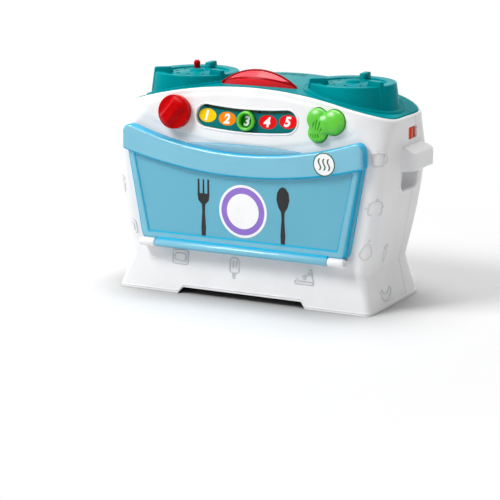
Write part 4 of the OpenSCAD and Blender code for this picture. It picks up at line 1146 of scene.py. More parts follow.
# %% [markdown]
# ## The teal top
# The cover follows the casing's arch, 0.9 mm above it, and has a rolled edge.
# Rings that shrink towards its middle keep the arch smooth. The place of the red
# lens and nine slots for the sound are cut through it. The lens stands on a
# slice of a disc, so its plan is an arc in front and a chord behind.

# %% Cover
cover_t, edge_roll = 3 * mm, 1.1 * mm
lens_half, lens_deep, lens_rise = 47.4 * mm, 12 * mm, 17 * mm
lens_back = cover_front + 22.5 * mm
lens_r = (lens_half ** 2 + lens_deep ** 2) / (2 * lens_deep)
cover_mid_y = (cover_front + cover_back) / 2


def cover_share(share, drop):
    """The cover's edge shrunk towards its middle, on the arch less a drop."""
    return [(x * share, cover_mid_y + (y - cover_mid_y) * share, arch_z(x * share) - drop + cover_lift)
            for x, y, z in cover_ring(0, 0)]


def lens_plan(grow, steps=40):
    """The slice of a disc that the red lens stands on."""
    half, chord_y = lens_half + grow, lens_back + grow
    centre = lens_back - lens_deep + lens_r
    across = [half * (2 * i / steps - 1) for i in range(steps + 1)]
    plan = [(x, min(centre - math.sqrt((lens_r + grow) ** 2 - x * x), chord_y)) for x in across]
    return plan + [(x, chord_y) for x in across[-2:0:-1]]


slab = [cover_share(share, cover_t) for share in (0.03, 0.3, 0.6, 0.85, 0.97)]
slab += [cover_ring(0, cover_t), cover_ring(0, edge_roll - cover_lift)]
slab += [cover_ring(-inward, down - cover_lift) for inward, down in roll(edge_roll, (22, 45, 68, 90))]
slab += [cover_share(share, 0)
         for share in (0.975, 0.94, 0.88, 0.8, 0.7, 0.6, 0.5, 0.4, 0.3, 0.2, 0.1, 0.03)]
below, above = 200 * mm, 260 * mm
openings = [prism(lens_plan(0.35 * mm), below, above)]
sound_half, sound_deep = 5.2 * mm, 1.2 * mm
for row in (-1, 0, 1):
    for i in (-1, 0, 1):
        x, y = i * 12 * mm, 57.5 * mm + row * 5 * mm
        openings.append(prism(box_outline(x - sound_half, y - sound_deep, x + sound_half, y + sound_deep,
                                          1.15 * mm), below, above))
cover = carve(scratch(loft(slab), "teal_cover"), openings)
dress(cover, teal, "casing", 32, ("cooktop",))
print("cover spans", round(2 * max(x for x, _, _ in cover_ring(0, 0)) / mm, 1), "mm")

# %% [markdown]
# ### Burner drums
# The drums are tapered, so each is a profile spun about its own axis, with the rim, the groove, the flat disc
# and the hub all in one line. Nine holes are cut in each and one more for the pan pin in the left hub. The
# walls inside the holes get the black finish, painted shade for the dark inside of the holes.

# %% Burner drums
burner_x, burner_y, burner_r, burner_top = 99 * mm, 8 * mm, 48.6 * mm, 244 * mm
burner_low, burner_draft = 203 * mm, 0.14


def burner_at(z):
    """A drum's radius at a height."""
    return burner_r + (burner_top - z) * burner_draft


rim_r, groove_r, dish_r = 1.8 * mm, burner_r * 0.77, burner_r * 0.6
hub_r, hub_top = 8.4 * mm, burner_top + 3 * mm
drum = [(0, burner_low), (burner_at(burner_low), burner_low)]
drum += arc(burner_r - rim_r, burner_top - rim_r, rim_r, 8, 76, 5)
drum += [(burner_r * 0.86, burner_top - 0.5 * mm)]
drum += arc(groove_r + 0.8 * mm, burner_top - 1.5 * mm, 0.8 * mm, 75, 100, 3)
drum += arc_at(groove_r - 1.1 * mm, burner_top - 2.1 * mm, 0.9 * mm, (-10,))
drum += [(burner_r * 0.745, burner_top - 3.0 * mm), (burner_r * 0.63, burner_top - 3.0 * mm)]
drum += arc(dish_r - 0.9 * mm, burner_top - 2.3 * mm, 0.9 * mm, 20, 70, 3)
drum += [(hub_r + 1.4 * mm, burner_top - 1.1 * mm), (hub_r + 0.3 * mm, burner_top - 0.6 * mm)]
drum += arc_at(0, burner_top - 0.6 * mm, hub_r, (12, 28, 44, 60, 75), 3.6 * mm)
drum += [(0, hub_top)]
hole_ring, hole_r, pin_hole_r = 24 * mm, 2.4 * mm, 3.9 * mm
hole_low, hole_high = burner_top - 7 * mm, burner_top + 2 * mm
for side, word in sides:
    cx = side * burner_x
    holes = []
    for i in range(9):
        turn = math.radians(35 + 40 * i)
        x, y = cx + hole_ring * math.cos(turn), burner_y + hole_ring * math.sin(turn)
        holes.append(prism(disc_outline(x, y, hole_r, 20), hole_low, hole_high))
    if word == "left":
        holes.append(prism(disc_outline(cx, burner_y, pin_hole_r, 32),
                           burner_top - 8 * mm, hub_top + 2 * mm))
    body = carve(scratch(spun(drum, 128, (0, 0, 1), (cx, burner_y, 0)), "burner_drum_" + word), holes)
    dress(body, teal, "casing", 28)
    # The walls inside the holes get the black finish: painted shade.
    body.data.materials.append(black_paint)
    for face in body.data.polygons:
        x, y, z = face.center
        in_hole_shade = math.hypot(x - cx, y - burner_y) < hole_ring + hole_r
        face.material_index = 1 if in_hole_shade and 0.21 < z < burner_top - 1.5 * mm else 0
print("drum height", round((burner_top - burner_low) / mm, 1), "mm")

# %% [markdown]
# ### Rings round the drums
# A raised ring on the arch runs round each drum's foot, with a rounded top and a
# hollow towards the drum. The drum's radius changes with height and the arch
# falls away to the side, so each point of a ring is worked out from both.

# %% Foot rings
def foot_ring(cx, step, lift):
    """A ring a step outside a drum's foot, at a height over the arch."""
    points = []
    for i in range(120):
        turn = 2 * math.pi * i / 120
        radius = burner_at(arch_z(cx + burner_r * math.cos(turn))) + step
        x, y = cx + radius * math.cos(turn), burner_y + radius * math.sin(turn)
        points.append((x, y, arch_z(x) + cover_lift + lift))
    return points


foot_profile = ((6.4, -1.2), (6.2, 0.2), (5.9, 1.1), (5.4, 1.7), (4.6, 1.9), (3.8, 1.6), (3.3, 1.1),
                (1.5, 1.0), (0.7, 1.3), (0.25, 2.0), (0.0, 3.2), (-2, 3.2), (-2, -1.2))
for side, word in sides:
    rings = [foot_ring(side * burner_x, step * mm, lift * mm) for step, lift in foot_profile]
    to_object(loft(rings, False, True), "drum_foot_" + word, teal, "casing", 35)
print("rings rise by", max(lift for _, lift in foot_profile), "mm")

# %% [markdown]
# ### Pan ribs
# Three ribs on each drum hold a toy pan. One rib is a slab with its side view as
# its outline and soft edges. The spin operator copies it twice about the drum's
# axis, a third of a turn each time.

# %% Pan ribs
rib_top, rib_low, rib_half = burner_top + 4.8 * mm, 204 * mm, 3.4 * mm
rib_far_low, rib_far_top = burner_at(rib_low) + 0.8 * mm, burner_at(rib_top) + 0.8 * mm
rib_view = rounded([(28 * mm, burner_top - 3.5 * mm), (rib_far_low - 5 * mm, rib_low),
                    (rib_far_low, rib_low), (rib_far_top, rib_top),
                    (30 * mm, rib_top), (27 * mm, burner_top - 1.4 * mm)],
                   [0, 0, 0, 2.2 * mm, 1.6 * mm, 0], 5)
for side, word in sides:
    ribs = bevel_all(prism(rib_view, -rib_half, rib_half, "y"), 1.0 * mm, 3, 50)
    bmesh.ops.spin(ribs, geom=ribs.verts[:] + ribs.edges[:] + ribs.faces[:], cent=(0, 0, 0),
                   axis=(0, 0, 1), angle=math.radians(240), steps=2, use_duplicate=True)
    bmesh.ops.rotate(ribs, verts=ribs.verts, cent=(0, 0, 0), matrix=Matrix.Rotation(math.radians(95), 3, "Z"))
    to_object(shift(ribs, (side * burner_x, burner_y, 0)), "pan_ribs_" + word, teal, "casing",
              40)
print("pan ribs rise to", round(rib_top / mm, 1), "mm")

# %% [markdown]
# ## The red lens
# The lens is a thin clear dome on a slice of a disc. Its top slopes up to the back and follows an arch, and
# its front is a low upright band. Rings of the plan rise up the band, roll over its edge and shrink over the
# top. The faces that look up are a paler red than the band, painted light where the top faces the light from
# above; the faces of the rolled edge get the bead's deep red, and a bead ends it.

# %% Heat lens
lens_tilt = math.atan(8 * mm / lens_deep)
lens_sag = lens_rise * math.cos(lens_tilt)
lens_arch_r = (lens_half ** 2 + lens_sag ** 2) / (2 * lens_sag)
lens_z = crown_z + 0.5 * mm
lens_mid_y = lens_back - 3.5 * mm
lens_edge, lens_edge_deep, lens_skin = 1.6 * mm, 2.0 * mm, 0.2 * mm


def lens_top(x, y):
    """Height of the lens over a place in its plan."""
    x = min(abs(x), lens_half)
    return (lens_z + lens_rise + (y - lens_back) * math.tan(lens_tilt)
            - (lens_arch_r - math.sqrt(lens_arch_r ** 2 - x * x)) / math.cos(lens_tilt))


def lens_ring(inset, drop, share=1.0):
    """A ring of the lens, drawn in, a drop below its top and shrunk to a share."""
    points = []
    for x, y in lens_plan(-inset):
        x, y = x * (0.5 + 0.5 * share), lens_mid_y + (y - lens_mid_y) * share
        points.append((x, y, max(lens_top(x, y) - drop, arch_z(x) - 3 * mm)))
    return points


lens_rings = [[(x, y, arch_z(x) - 4 * mm) for x, y in lens_plan(0)],
              lens_ring(0, lens_skin + lens_edge_deep)]
lens_rings += [lens_ring(lens_edge * inward, lens_skin + lens_edge_deep * down)
               for inward, down in roll(1, (30, 60, 90))]
lens_rings += [lens_ring(lens_edge, 0.15 * mm, share) for share in (0.85, 0.6, 0.35, 0.12)]
dome = to_object(loft(lens_rings), "heat_lens_dome", lens_red, "casing", 40, ("heat_lens",))
deep_red = plastic("lens_bead", rgb(164, 2, 12), rgb(140, 0, 10), 0.2, 0.01 * mm, specular_ior_level=0.1)
for paint in (lens_painted_light, deep_red):
    dome.data.materials.append(paint)
# Upward faces get the paler red, painted light; the rolled edge gets the bead's deep red.
for face in dome.data.polygons:
    face.material_index = 1 if face.normal.z > 0.75 else 2 if face.normal.z > 0.3 else 0
bead = [(x, lens_back - 0.7 * mm, lens_top(x, lens_back) - 0.9 * mm)
        for x in ((lens_half - 0.8 * mm) * (2 * i / 60 - 1) for i in range(61))]
tubes("heat_lens_bead", [bead], 1.35 * mm, deep_red, "casing", False, 3)
print("lens top", round(lens_top(0, lens_back) / mm, 1), "mm")

# %% [markdown]
# ## The pan pin
# The pin goes down when a toy pan is set on the burner. It is a turned shape: a
# shallow cap, a neck and the shank with its collar, which rests on the spring.
# Its lower end is where the CAD's pin ends.

# %% Pan pin
pin_r, pin_top, shank_r, collar_r = 3.75 * mm, 256 * mm, 2 * mm, 5.4 * mm
pin_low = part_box("pan_pin")[0][2]
pin_line = [(0, pin_low), (shank_r, pin_low), (shank_r, 228.5 * mm), (collar_r, 228.5 * mm),
            (collar_r, 229.9 * mm), (3.5 * mm, 229.9 * mm), (3.5 * mm, 250.6 * mm), (pin_r, 251.0 * mm)]
pin_line += arc_at(0, pin_top - 3 * mm, pin_r, (0, 20, 40, 60, 78), 3 * mm)
pin_line += [(0, pin_top)]
to_object(spun(pin_line, 48, (0, 0, 1), (-burner_x, burner_y, 0)), "pan_pin_turned", red,
          "pin", 40, ("pan_pin",))
print("pin", round((pin_top - pin_low) / mm, 1), "mm long")

# %% [markdown]
# ## The power nub
# The nub fills its window in the right side, with one ridge for a finger, and
# slides with a thin plate behind the wall. The nub is a slab whose outline, seen
# from above, has the ridge in it.

# %% Power nub
slide_low, slide_high = (Vector(c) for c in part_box("power_slide"))
side_x = half_w(switch_z) + bulge(switch_z, switch_y)
nub_x, slide_x = side_x + 0.6 * mm, side_x - wall - 0.4 * mm
plate = prism(box_outline(slide_low.y, slide_low.z, slide_high.y, slide_high.z, 1 * mm),
              slide_x - 1.6 * mm, slide_x, "x")
to_object(bevel_all(plate, 0.3 * mm, 2, 60), "power_plate", orange, "nub", 40,
          ("power_slide",))
nub_y0, nub_y1 = switch_y - switch_w / 2 + 0.6 * mm, switch_y + switch_w / 2 - 7.6 * mm
nub_root, nub_flat = slide_x - 1 * mm, nub_x - 1.2 * mm
nub_view = rounded([(nub_root, nub_y0), (nub_flat, nub_y0), (nub_flat, nub_y0 + 4.5 * mm),
                    (nub_x, nub_y0 + 6 * mm), (nub_x, nub_y0 + 8.2 * mm), (nub_flat, nub_y0 + 9.6 * mm),
                    (nub_flat, nub_y1), (nub_root, nub_y1)],
                   [0, 1 * mm, 0.6 * mm, 0.9 * mm, 0.9 * mm, 0.6 * mm, 1 * mm, 0], 4)
nub = prism(nub_view, switch_z - switch_h / 2 + 0.5 * mm, switch_z + switch_h / 2 - 0.5 * mm)
to_object(bevel_all(nub, 0.7 * mm, 3, 60), "power_nub", orange, "nub", 40)
print("nub", round((nub_y1 - nub_y0) / mm, 1), "mm long")

# %% [markdown]
# ## The timer knob
# The knob is a disc with a rounded shoulder and a wedge for the fingers, whose
# ridge is crowned. The disc is a spun profile, the wedge a slab crossed with a
# spun crown. Both are drawn along +Z and then turned to point out of the panel.

# %% Knob wedge
knob_r, face_h, knob_h, knob_rest = 19.2 * mm, 10.2 * mm, 17 * mm, 38


def to_y(bm):
    """Turns a shape made along +Z to point out of the panel, along -Y."""
    bmesh.ops.rotate(bm, verts=bm.verts, cent=(0, 0, 0), matrix=Matrix.Rotation(math.radians(90), 3, "X"))
    return bm


wedge_view = rounded([(-12.6 * mm, 3 * mm), (12.6 * mm, 3 * mm), (11.4 * mm, face_h), (4.8 * mm, knob_h),
                      (-4.8 * mm, knob_h), (-11.4 * mm, face_h)],
                     [0, 0, 0.6 * mm, 1.0 * mm, 1.0 * mm, 0.6 * mm], 4)
crown_line = [(0, 2.2 * mm), (knob_r - 1.7 * mm, 2.2 * mm), (knob_r - 1.7 * mm, face_h - 0.4 * mm),
              (knob_r - 4.5 * mm, 14.4 * mm), (knob_r - 7.2 * mm, 16.6 * mm), (6 * mm, knob_h),
              (0, knob_h)]
wedge = carve(scratch(prism(wedge_view, -0.03, 0.03, "y")), [spun(crown_line, 64)], "INTERSECT")
print("wedge faces:", len(wedge.data.polygons))

# %% [markdown]
# ### The whole knob
# Remeshing disc and wedge together gives the soft joints of a moulding. The knob
# rests turned by 38 degrees, as in the photo. Its spindle reaches back through
# the panel to the rotary switch.

# %% Knob
knob_line = [(0, 1 * mm), (knob_r - 0.8 * mm, 1 * mm), (knob_r - 0.1 * mm, 1.8 * mm)]
knob_line += arc(knob_r - 1.1 * mm, face_h - 1.1 * mm, 1.1 * mm, 0, 80, 5)
knob_line += [(knob_r * 0.8, face_h), (0, face_h)]
whole = carve(scratch(to_y(spun(knob_line, 96))), [to_y(taken(wedge))], "UNION")
knob = taken(melted(whole, 0.4 * mm, 3))
bmesh.ops.rotate(knob, verts=knob.verts, cent=(0, 0, 0),
                 matrix=Matrix.Rotation(math.radians(knob_rest), 3, "Y"))
shift(knob, (-knob_x, 0, control_up))
to_object(on_panel(knob), "timer_knob_moulding", red, "knob", 180, ("timer_knob",))
spindle = spun([(0, 0), (2.8 * mm, 0), (3 * mm, 0.2 * mm), (3 * mm, 11.6 * mm), (2.6 * mm, 12 * mm),
                (0, 12 * mm)], 32, (0, 1, 0), (-knob_x, -1.5 * mm, control_up))
to_object(on_panel(spindle), "knob_spindle", red, "knob", 40)
print("knob diameter", round(2 * knob_r / mm, 1), "mm")

# %% [markdown]
# ## The number row
# Five coloured spots are printed on the teal strip, under white numerals. A
# print is only a film thick, so each is an outline a tenth of a millimetre
# deep. The numerals come from Blender's own font, leaned and thickened.

# %% Number row
plate_y, print_t = 3.8 * mm, 0.12 * mm
spots = (("yellow", rgb(252, 206, 2)), ("orange", rgb(246, 136, 4)), ("green", rgb(6, 118, 28)),
         ("red", rgb(232, 10, 16)))
ink = {word: plastic("print_" + word, tint, tuple(c * 0.93 for c in tint[:3]) + (1,), 0.3, 0.004 * mm,
                     specular_ior_level=0.12)
       for word, tint in spots}
ink_white = plastic("print_white", rgb(248, 248, 248), rgb(240, 240, 242), 0.35, 0.004 * mm)


def row_place(i):
    """Where the spots sit on the bent strip, counted from the middle one."""
    x = number_pitch * i
    return x, number_r - math.sqrt(number_r ** 2 - x * x)


def lettering(text, size, lean_by, swell):
    """A numeral as a mesh in the XY plane, centred on its own middle."""
    font = bpy.data.curves.new("numeral", "FONT")
    font.body, font.size, font.shear, font.offset = text, size, lean_by, swell
    font.extrude, font.align_x = print_t / 2, "CENTER"
    drawn = linked("numeral", font)
    bm = taken(linked("numeral", baked(drawn)))
    bpy.data.objects.remove(drawn)
    low = [min(v.co[k] for v in bm.verts) for k in (0, 1)]
    high = [max(v.co[k] for v in bm.verts) for k in (0, 1)]
    return shift(bm, (-(low[0] + high[0]) / 2, -(low[1] + high[1]) / 2, 0))


for i, colour in zip((-2, -1, 0, 1, 2), ("yellow", "orange", "green", "red", "red")):
    x, z = row_place(i)
    number = str(i + 3)
    spot = prism(disc_outline(x, z, 11 * mm, 60, 7.7 * mm), plate_y - print_t, plate_y + 0.05 * mm, "y")
    to_object(on_panel(spot), "spot_" + number, ink[colour], "casing", 40)
    numeral = shift(to_y(lettering(number, 14.8 * mm, 0.2, 0.62 * mm)),
                    (x - 0.8 * mm, plate_y - print_t * 1.6, z))
    to_object(on_panel(numeral), "numeral_" + number, ink_white, "casing", 40)
print("spots at", [round(row_place(i)[0] / mm, 1) for i in range(-2, 3)])

# %% [markdown]
# ### The sliding ring
# The green ring is a spun half round with a flat back. It is held only by an arm
# that goes through a slit in the strip, so the arm is part of it.

# %% Sliding ring
ring_r, ring_hole, ring_back = 11 * mm, 7.6 * mm, -2.8 * mm
ring_line = [(ring_hole, ring_back), (ring_r - 0.6 * mm, ring_back), (ring_r - 0.1 * mm, -2.2 * mm)]
ring_line += arc((ring_r + ring_hole) / 2, 0.9 * mm, (ring_r - ring_hole) / 2, 0, 180, 12, 2.0 * mm)
ring_line += [(ring_hole, ring_back)]
to_object(on_panel(to_y(spun(ring_line, 80))), "number_ring", green, "ring", 45,
          ("number_slider",))
arm = prism(box_outline(-3 * mm, 9.0 * mm, 3 * mm, 11.5 * mm, 0.3 * mm), 1.6 * mm, 8.2 * mm, "y")
to_object(on_panel(bevel_all(arm, 0.3 * mm, 2, 50)), "ring_arm", green, "ring", 40)
print("ring hole", round(2 * ring_hole / mm, 1), "mm")

# %% [markdown]
# ## The green button
# The button is shaped like a vegetable: two smooth crowns and a stalk. Flattened
# balls are joined to a lobed slab, remeshed and smoothed, which fuses them.

# %% Vegetable button
def ball(x, z, rx, ry, rz, y=0.0, turn=0.0):
    """A flattened ball near the button's middle, turned in the panel's plane."""
    bm = bmesh.new()
    bmesh.ops.create_icosphere(bm, subdivisions=4, radius=1)
    bmesh.ops.scale(bm, vec=(rx, ry, rz), verts=bm.verts)
    bmesh.ops.rotate(bm, verts=bm.verts, cent=(0, 0, 0), matrix=Matrix.Rotation(math.radians(turn), 3, "Y"))
    return shift(bm, (button_x + x, y, control_up + z))


button = scratch(prism(lobed_outline(0), -3.8 * mm, 4.8 * mm, "y"))
(ax, az, ar), (bx, bz, br), (sx, sz, sr) = button_circles
lumps = [ball(ax, az, ar - 0.6 * mm, 5.2 * mm, ar - 0.6 * mm, -3.4 * mm),
         ball(bx, bz, br - 0.6 * mm, 5.6 * mm, br - 0.6 * mm, -3.4 * mm),
         ball(-1.5 * mm, -0.5 * mm, 12 * mm, 6.2 * mm, 11 * mm, -3.4 * mm, 30),
         ball(sx + 1.5 * mm, sz + 6 * mm, sr * 0.76, 5.0 * mm, 11.5 * mm, -3.4 * mm, 14),
         ball(sx, sz - 3.6 * mm, sr * 0.96, 3.4 * mm, sr * 0.6, -3.2 * mm, 6)]
melted(carve(button, lumps, "UNION"), 0.6 * mm, 16)
print("button faces:", len(button.data.polygons))

# %% [markdown]
# ### Flutes of the stalk
# The stalk has thin grooves along it. They are cut with long thin balls once the
# lumps are soft, and a finer and shorter smoothing then rounds the grooves'
# edges without closing them. Each row below is a groove's place, slant, length
# and how far out it sits.

# %% Flutes
flutes = []
for x, z, slant, length, out in ((-6.4, -4.2, 10, 3.4, 5.9), (-3.4, -4.6, 6, 3.6, 6.4),
                                 (-0.4, -4.6, 2, 3.6, 6.4), (2.6, -4.2, -4, 3.4, 6.0),
                                 (-3.6, 6.4, 16, 7.4, 7.4), (0.2, 7.4, 8, 8.0, 8.0),
                                 (4.0, 7.2, 18, 7.6, 8.0), (7.4, 4.6, 34, 5.6, 7.4)):
    flutes.append(ball(sx + x * mm, sz + z * mm, 0.7 * mm, 1.5 * mm, length * mm, -out * mm, slant))
melted(carve(button, flutes), 0.38 * mm, 4)
to_object(on_panel(taken(button)), "veg_button_moulding", green, "button", 180,
          ("veg_button",))
print("flutes:", len(flutes))

# %% [markdown]
# ## The door
# The door is one clear blue moulding, about 2 mm thick: a deep band to grip along its top, a thinner panel
# with a stepped rim under it, a finger tab and the barrel that turns on the pins. The band and the panel are
# skins through outlines that shrink as they come forward, and the same outlines, smaller, make the inside.
# Side walls get the dense finish, since one looks along them, and faces that face down get it too, as painted
# shade.

# %% Door outlines
door_back = front_y + 0.5 * mm
band_depth, panel_depth, door_t = 12.7 * mm, 8.9 * mm, 2.2 * mm
band_half, band_mid_z = 150.4 * mm, 140.6 * mm
door_mid_z, door_edge_r = 166.5 * mm, 426 * mm
panel_bottom, panel_top = 127.6 * mm, 146 * mm


def band_outline(inset):
    """The grip band's outline, drawn in by an inset."""
    low = smile_points(band_half - inset, band_mid_z + inset, band_edge_r)
    high = smile_points(band_half - inset, door_mid_z - inset, door_edge_r)[::-1]
    zeros = [0] * (len(low) - 2)
    small, large = max(3 * mm - inset / 2, 0.6 * mm), max(9 * mm - inset, 0.8 * mm)
    return rounded(low + high, [small] + zeros + [small, large] + zeros + [large])


def panel_outline(inset):
    """The panel's outline, drawn in by an inset."""
    return sag_panel(panel_bottom - inset, hinge_z + 3.5 * mm + max(inset, -0.4 * mm), panel_top - inset,
                     band_mid_z + 1 * mm - inset * 0.12, band_edge_r,
                     max(6 * mm - inset, 1 * mm), 2 * mm)


def upright(outline, y):
    """An outline stood up at a depth."""
    return [(x, y, z) for x, z in outline]


def steep(ob, paint, limit=0.6):
    """A second finish on the faces that run front to back, and, as painted shade, on those that face down."""
    ob.data.materials.append(paint)
    for face in ob.data.polygons:
        # Faces that face down get the dense finish as painted shade.
        face.material_index = 1 if abs(face.normal.y) < limit or face.normal.z < -0.3 else 0
    return ob


print("band outline points:", len(band_outline(0)), " panel:", len(panel_outline(0)))

# %% [markdown]
# ### The grip band
# The outer skin starts at the door's back, rolls over to the front and ends in a
# flat face. The inner skin is a wall's thickness smaller and ends at the same
# inset, so the two together are one stack of rings with a wall between them.

# %% Grip band
soft, band_flat = 3.4 * mm, 11 * mm
band_front = -door_back - band_depth
skin_out = [upright(band_outline(0), -door_back)]
skin_out += [upright(band_outline(inward), band_front + down)
             for inward, down in roll(soft, range(0, 91, 15))]
skin_out += [upright(band_outline(7 * mm), band_front), upright(band_outline(band_flat), band_front)]
skin_in = [upright(band_outline(door_t), -door_back)]
skin_in += [upright(band_outline(door_t + inward), band_front + door_t + down)
            for inward, down in roll(soft - door_t, range(0, 91, 18))]
skin_in += [upright(band_outline(band_flat), band_front + door_t)]
steep(to_object(loft(skin_out[::-1] + skin_in), "door_band", door_pale, "door", 30,
                ("door",)), door_rim)
print("band front at", round(band_front / mm, 1))

# %% [markdown]
# ### The panel
# The panel's window lies 1.9 mm behind its rim, and round its foot a flange
# stands out. Each pair is an inset and how far behind the front the skin is
# there. The raised rim gets the pale finish, the walls the dense one.

# %% Panel
panel_front, flange = -door_back - panel_depth, -3.2
front_steps = ((30, 1.9), (9.6, 1.9), (8.2, 0.1), (7.4, 0.0), (2.4, 0.0), (1.2, 0.35), (0.35, 1.2),
               (0.0, 2.4), (0.0, 5.8), (flange + 0.3, 6.2), (flange, 6.6), (flange, panel_depth / mm))
back_steps = ((door_t / mm, panel_depth / mm), (door_t / mm, 3.6), (3.2, 2.2), (9.2, 2.2), (10.8, 4.0),
              (30, 4.0))
skin = [upright(panel_outline(inset * mm), panel_front + depth * mm)
        for inset, depth in front_steps + back_steps]
panel = steep(to_object(loft(skin), "door_panel", door_blue, "door", 30), door_rim, 0.85)
panel.data.materials.append(door_pale)
for face in panel.data.polygons:
    if face.center.y < panel_front + 0.05 * mm:
        face.material_index = 2
print("panel front at", round(panel_front / mm, 1))

# %% [markdown]
# ### The finger tab
# A finger pulls the door open by a flat tab that rises over the band. Its top is
# a low arch and its foot follows the band's upper edge.

# %% Finger tab
tab_half, tab_top_z = 78 * mm, 176 * mm
tab_end = smile(tab_half, door_mid_z, door_edge_r) - 1 * mm


def tab_outline(inset, steps=24):
    """The tab's outline: the foot, then the arch back to its start."""
    half = tab_half - inset * 3
    foot = smile_points(half, door_mid_z - 4 * mm, door_edge_r, steps)
    arch = [(x, tab_end + (tab_top_z - inset - tab_end) * (1 - (x / tab_half) ** 2)) for x, _ in foot]
    return [(x, min(z, top)) for (x, z), (_, top) in zip(foot, arch)] + arch[-2:0:-1]


tab = loft([upright(tab_outline(inset * mm), -door_back - ahead * mm)
            for inset, ahead in ((0.8, 3.2), (0.3, 3.0), (0, 2.4), (0, 0.8), (0.5, 0.3))])
# The tab's paler finish is partly its thinness and partly painted light against the shade behind it.
steep(to_object(tab, "door_tab", door_thin_painted_light, "door", 30), door_rim)
print("tab", round(2 * tab_half / mm), "mm wide")

# %% [markdown]
# ### Barrel and lip
# The barrel is a tube that turns on the pins between the two bosses, so it is a
# closed profile spun about the hinge line. A lip joins it to the panel's foot.

# %% Barrel and lip
half_barrel, tube_out, tube_in = barrel_w / 2, barrel_d / 2, 2.3 * mm
end_line = [(tube_in, 0.2 * mm), (tube_out - 0.8 * mm, 0), (tube_out - 0.2 * mm, 0.25 * mm),
            (tube_out, 0.9 * mm)]
line = end_line + [(r, barrel_w - h) for r, h in end_line[::-1]] + [end_line[0]]
barrel = spun(line, 40, (1, 0, 0), (-half_barrel, -hinge_y, hinge_z))
to_object(barrel, "door_barrel", door_pale, "door", 40)
lip_y0, lip_y1 = -hinge_y - 1.5 * mm, panel_front + 4.2 * mm
lip_view = rounded([(lip_y0, hinge_z + 2.0 * mm), (lip_y1, hinge_z + 1.8 * mm), (lip_y1, hinge_z + 7 * mm),
                    (panel_front + 0.4 * mm, hinge_z + 7 * mm), (lip_y0, hinge_z + 4.2 * mm)],
                   [0, 0.6 * mm, 0.6 * mm, 1.5 * mm, 0.6 * mm], 4)
to_object(prism(lip_view, -half_barrel + 1 * mm, half_barrel - 1 * mm, "x"), "door_lip", door_rim,
          "door", 40)
print("barrel", round(barrel_w / mm, 1), "mm long")

# %% [markdown]
# ## Print on the door
# The window carries a printed place setting: a plate with a coloured band, a
# fork and a spoon. Each film is an outline a tenth of a millimetre deep, in
# front of the window and clear of it by a hair, and each layer lies a little in
# front of the one before. The cutlery is symmetric, so half of it is drawn.

# %% Door print
ink_purple = plastic("print_purple", rgb(146, 112, 206), rgb(136, 102, 196), 0.3, 0.004 * mm)
ink_black = plastic("print_black", rgb(16, 16, 20), rgb(10, 10, 14), 0.28, 0.004 * mm)
window_y = panel_front + 1.9 * mm


def film(outline, layer, name, paint, face_y=window_y):
    """A printed shape in front of a face of the door."""
    near = face_y - (0.05 + 0.12 * layer) * mm
    return to_object(prism(outline, near - 0.1 * mm, near, "y"), name, paint, "door", 40)


def cutlery(tip, x, z):
    """A fork or a spoon: the handle's right half, then the tip's, both mirrored."""
    half = [(0, -30), (2.2, -29), (2.6, -20), (1.5, -4), (1.9, 3)] + tip
    outline = half + [(-u, v) for u, v in half[::-1] if u > 0]
    return [(x + 1.15 * u * mm, z + 1.15 * v * mm) for u, v in outline]


plate_x, plate_z = 2 * mm, 102 * mm
plate_rings = ((30, "", ink_white), (27, "_band", ink_purple), (20, "_middle", ink_white))
for layer, (radius, part, paint) in enumerate(plate_rings):
    film(disc_outline(plate_x, plate_z, radius * mm, 96), layer, "print_plate" + part, paint)
spoon_tip = [(5.0, 8), (7.0, 15), (6.2, 22), (3.4, 26.4), (0, 28)]
fork_tip = [(5.8, 7), (6.6, 12), (6.4, 28), (4.4, 28), (4.2, 14), (3.2, 14), (1.0, 14), (0.9, 28), (0, 28)]
film(cutlery(fork_tip, plate_x - 50 * mm, plate_z), 0, "print_fork", ink_black)
film(cutlery(spoon_tip, plate_x + 50 * mm, plate_z), 0, "print_spoon", ink_black)
print("plate", 2 * plate_rings[0][0], "mm across")

# %% [markdown]
# ### The round badge
# A round badge with three lines of steam stands at the right end of the band. A
# white plug through the clear wall lies behind its print, so that nothing shines
# through. Each line of steam is a sine wave made into a strip.

# %% Badge
ink_green = plastic("print_green", rgb(14, 84, 44), rgb(8, 76, 38), 0.3, 0.004 * mm)
badge_x, badge_z, badge_r = 104.8 * mm, 164.8 * mm, 13.2 * mm
to_object(prism(disc_outline(badge_x, badge_z, badge_r), band_front - 0.03 * mm, band_front + 2.2 * mm, "y"),
          "badge_back", ink_white, "door", 40)
film(disc_outline(badge_x, badge_z, badge_r), 0, "badge_rim", ink_green, band_front)
film(disc_outline(badge_x, badge_z, badge_r - 1.3 * mm), 1, "badge_face", ink_white, band_front)
steam_w, steam_tall, sway = 1.7 * mm, 13 * mm, 1.3 * mm
for k in (-1, 0, 1):
    wave = [(badge_x + k * 5.4 * mm + sway * math.sin(6.28 * i / 12) - 0.8 * mm,
             badge_z + (i / 12 - 0.5) * steam_tall) for i in range(13)]
    strip = wave + [(x + steam_w, z) for x, z in wave[::-1]]
    film(strip, 2, "badge_steam_" + str(k + 2), ink_green, band_front)
print("badge", round(2 * badge_r / mm, 1), "mm across")

# %% [markdown]
# ## Small raised pictures of food
# Faint pictures stand less than a millimetre out of the casing, as in a mould
# that was engraved. They are lines only, so each is a few paths in millimetres
# round its own middle: closed outlines with rounded corners, arcs and strokes.

# %% Pictures
def ellipse(cx, cz, rx, rz, start=0, turn=360, steps=20):
    """An oval or a part of one."""
    return arc(cx, cz, rx, start, turn, steps, rz)


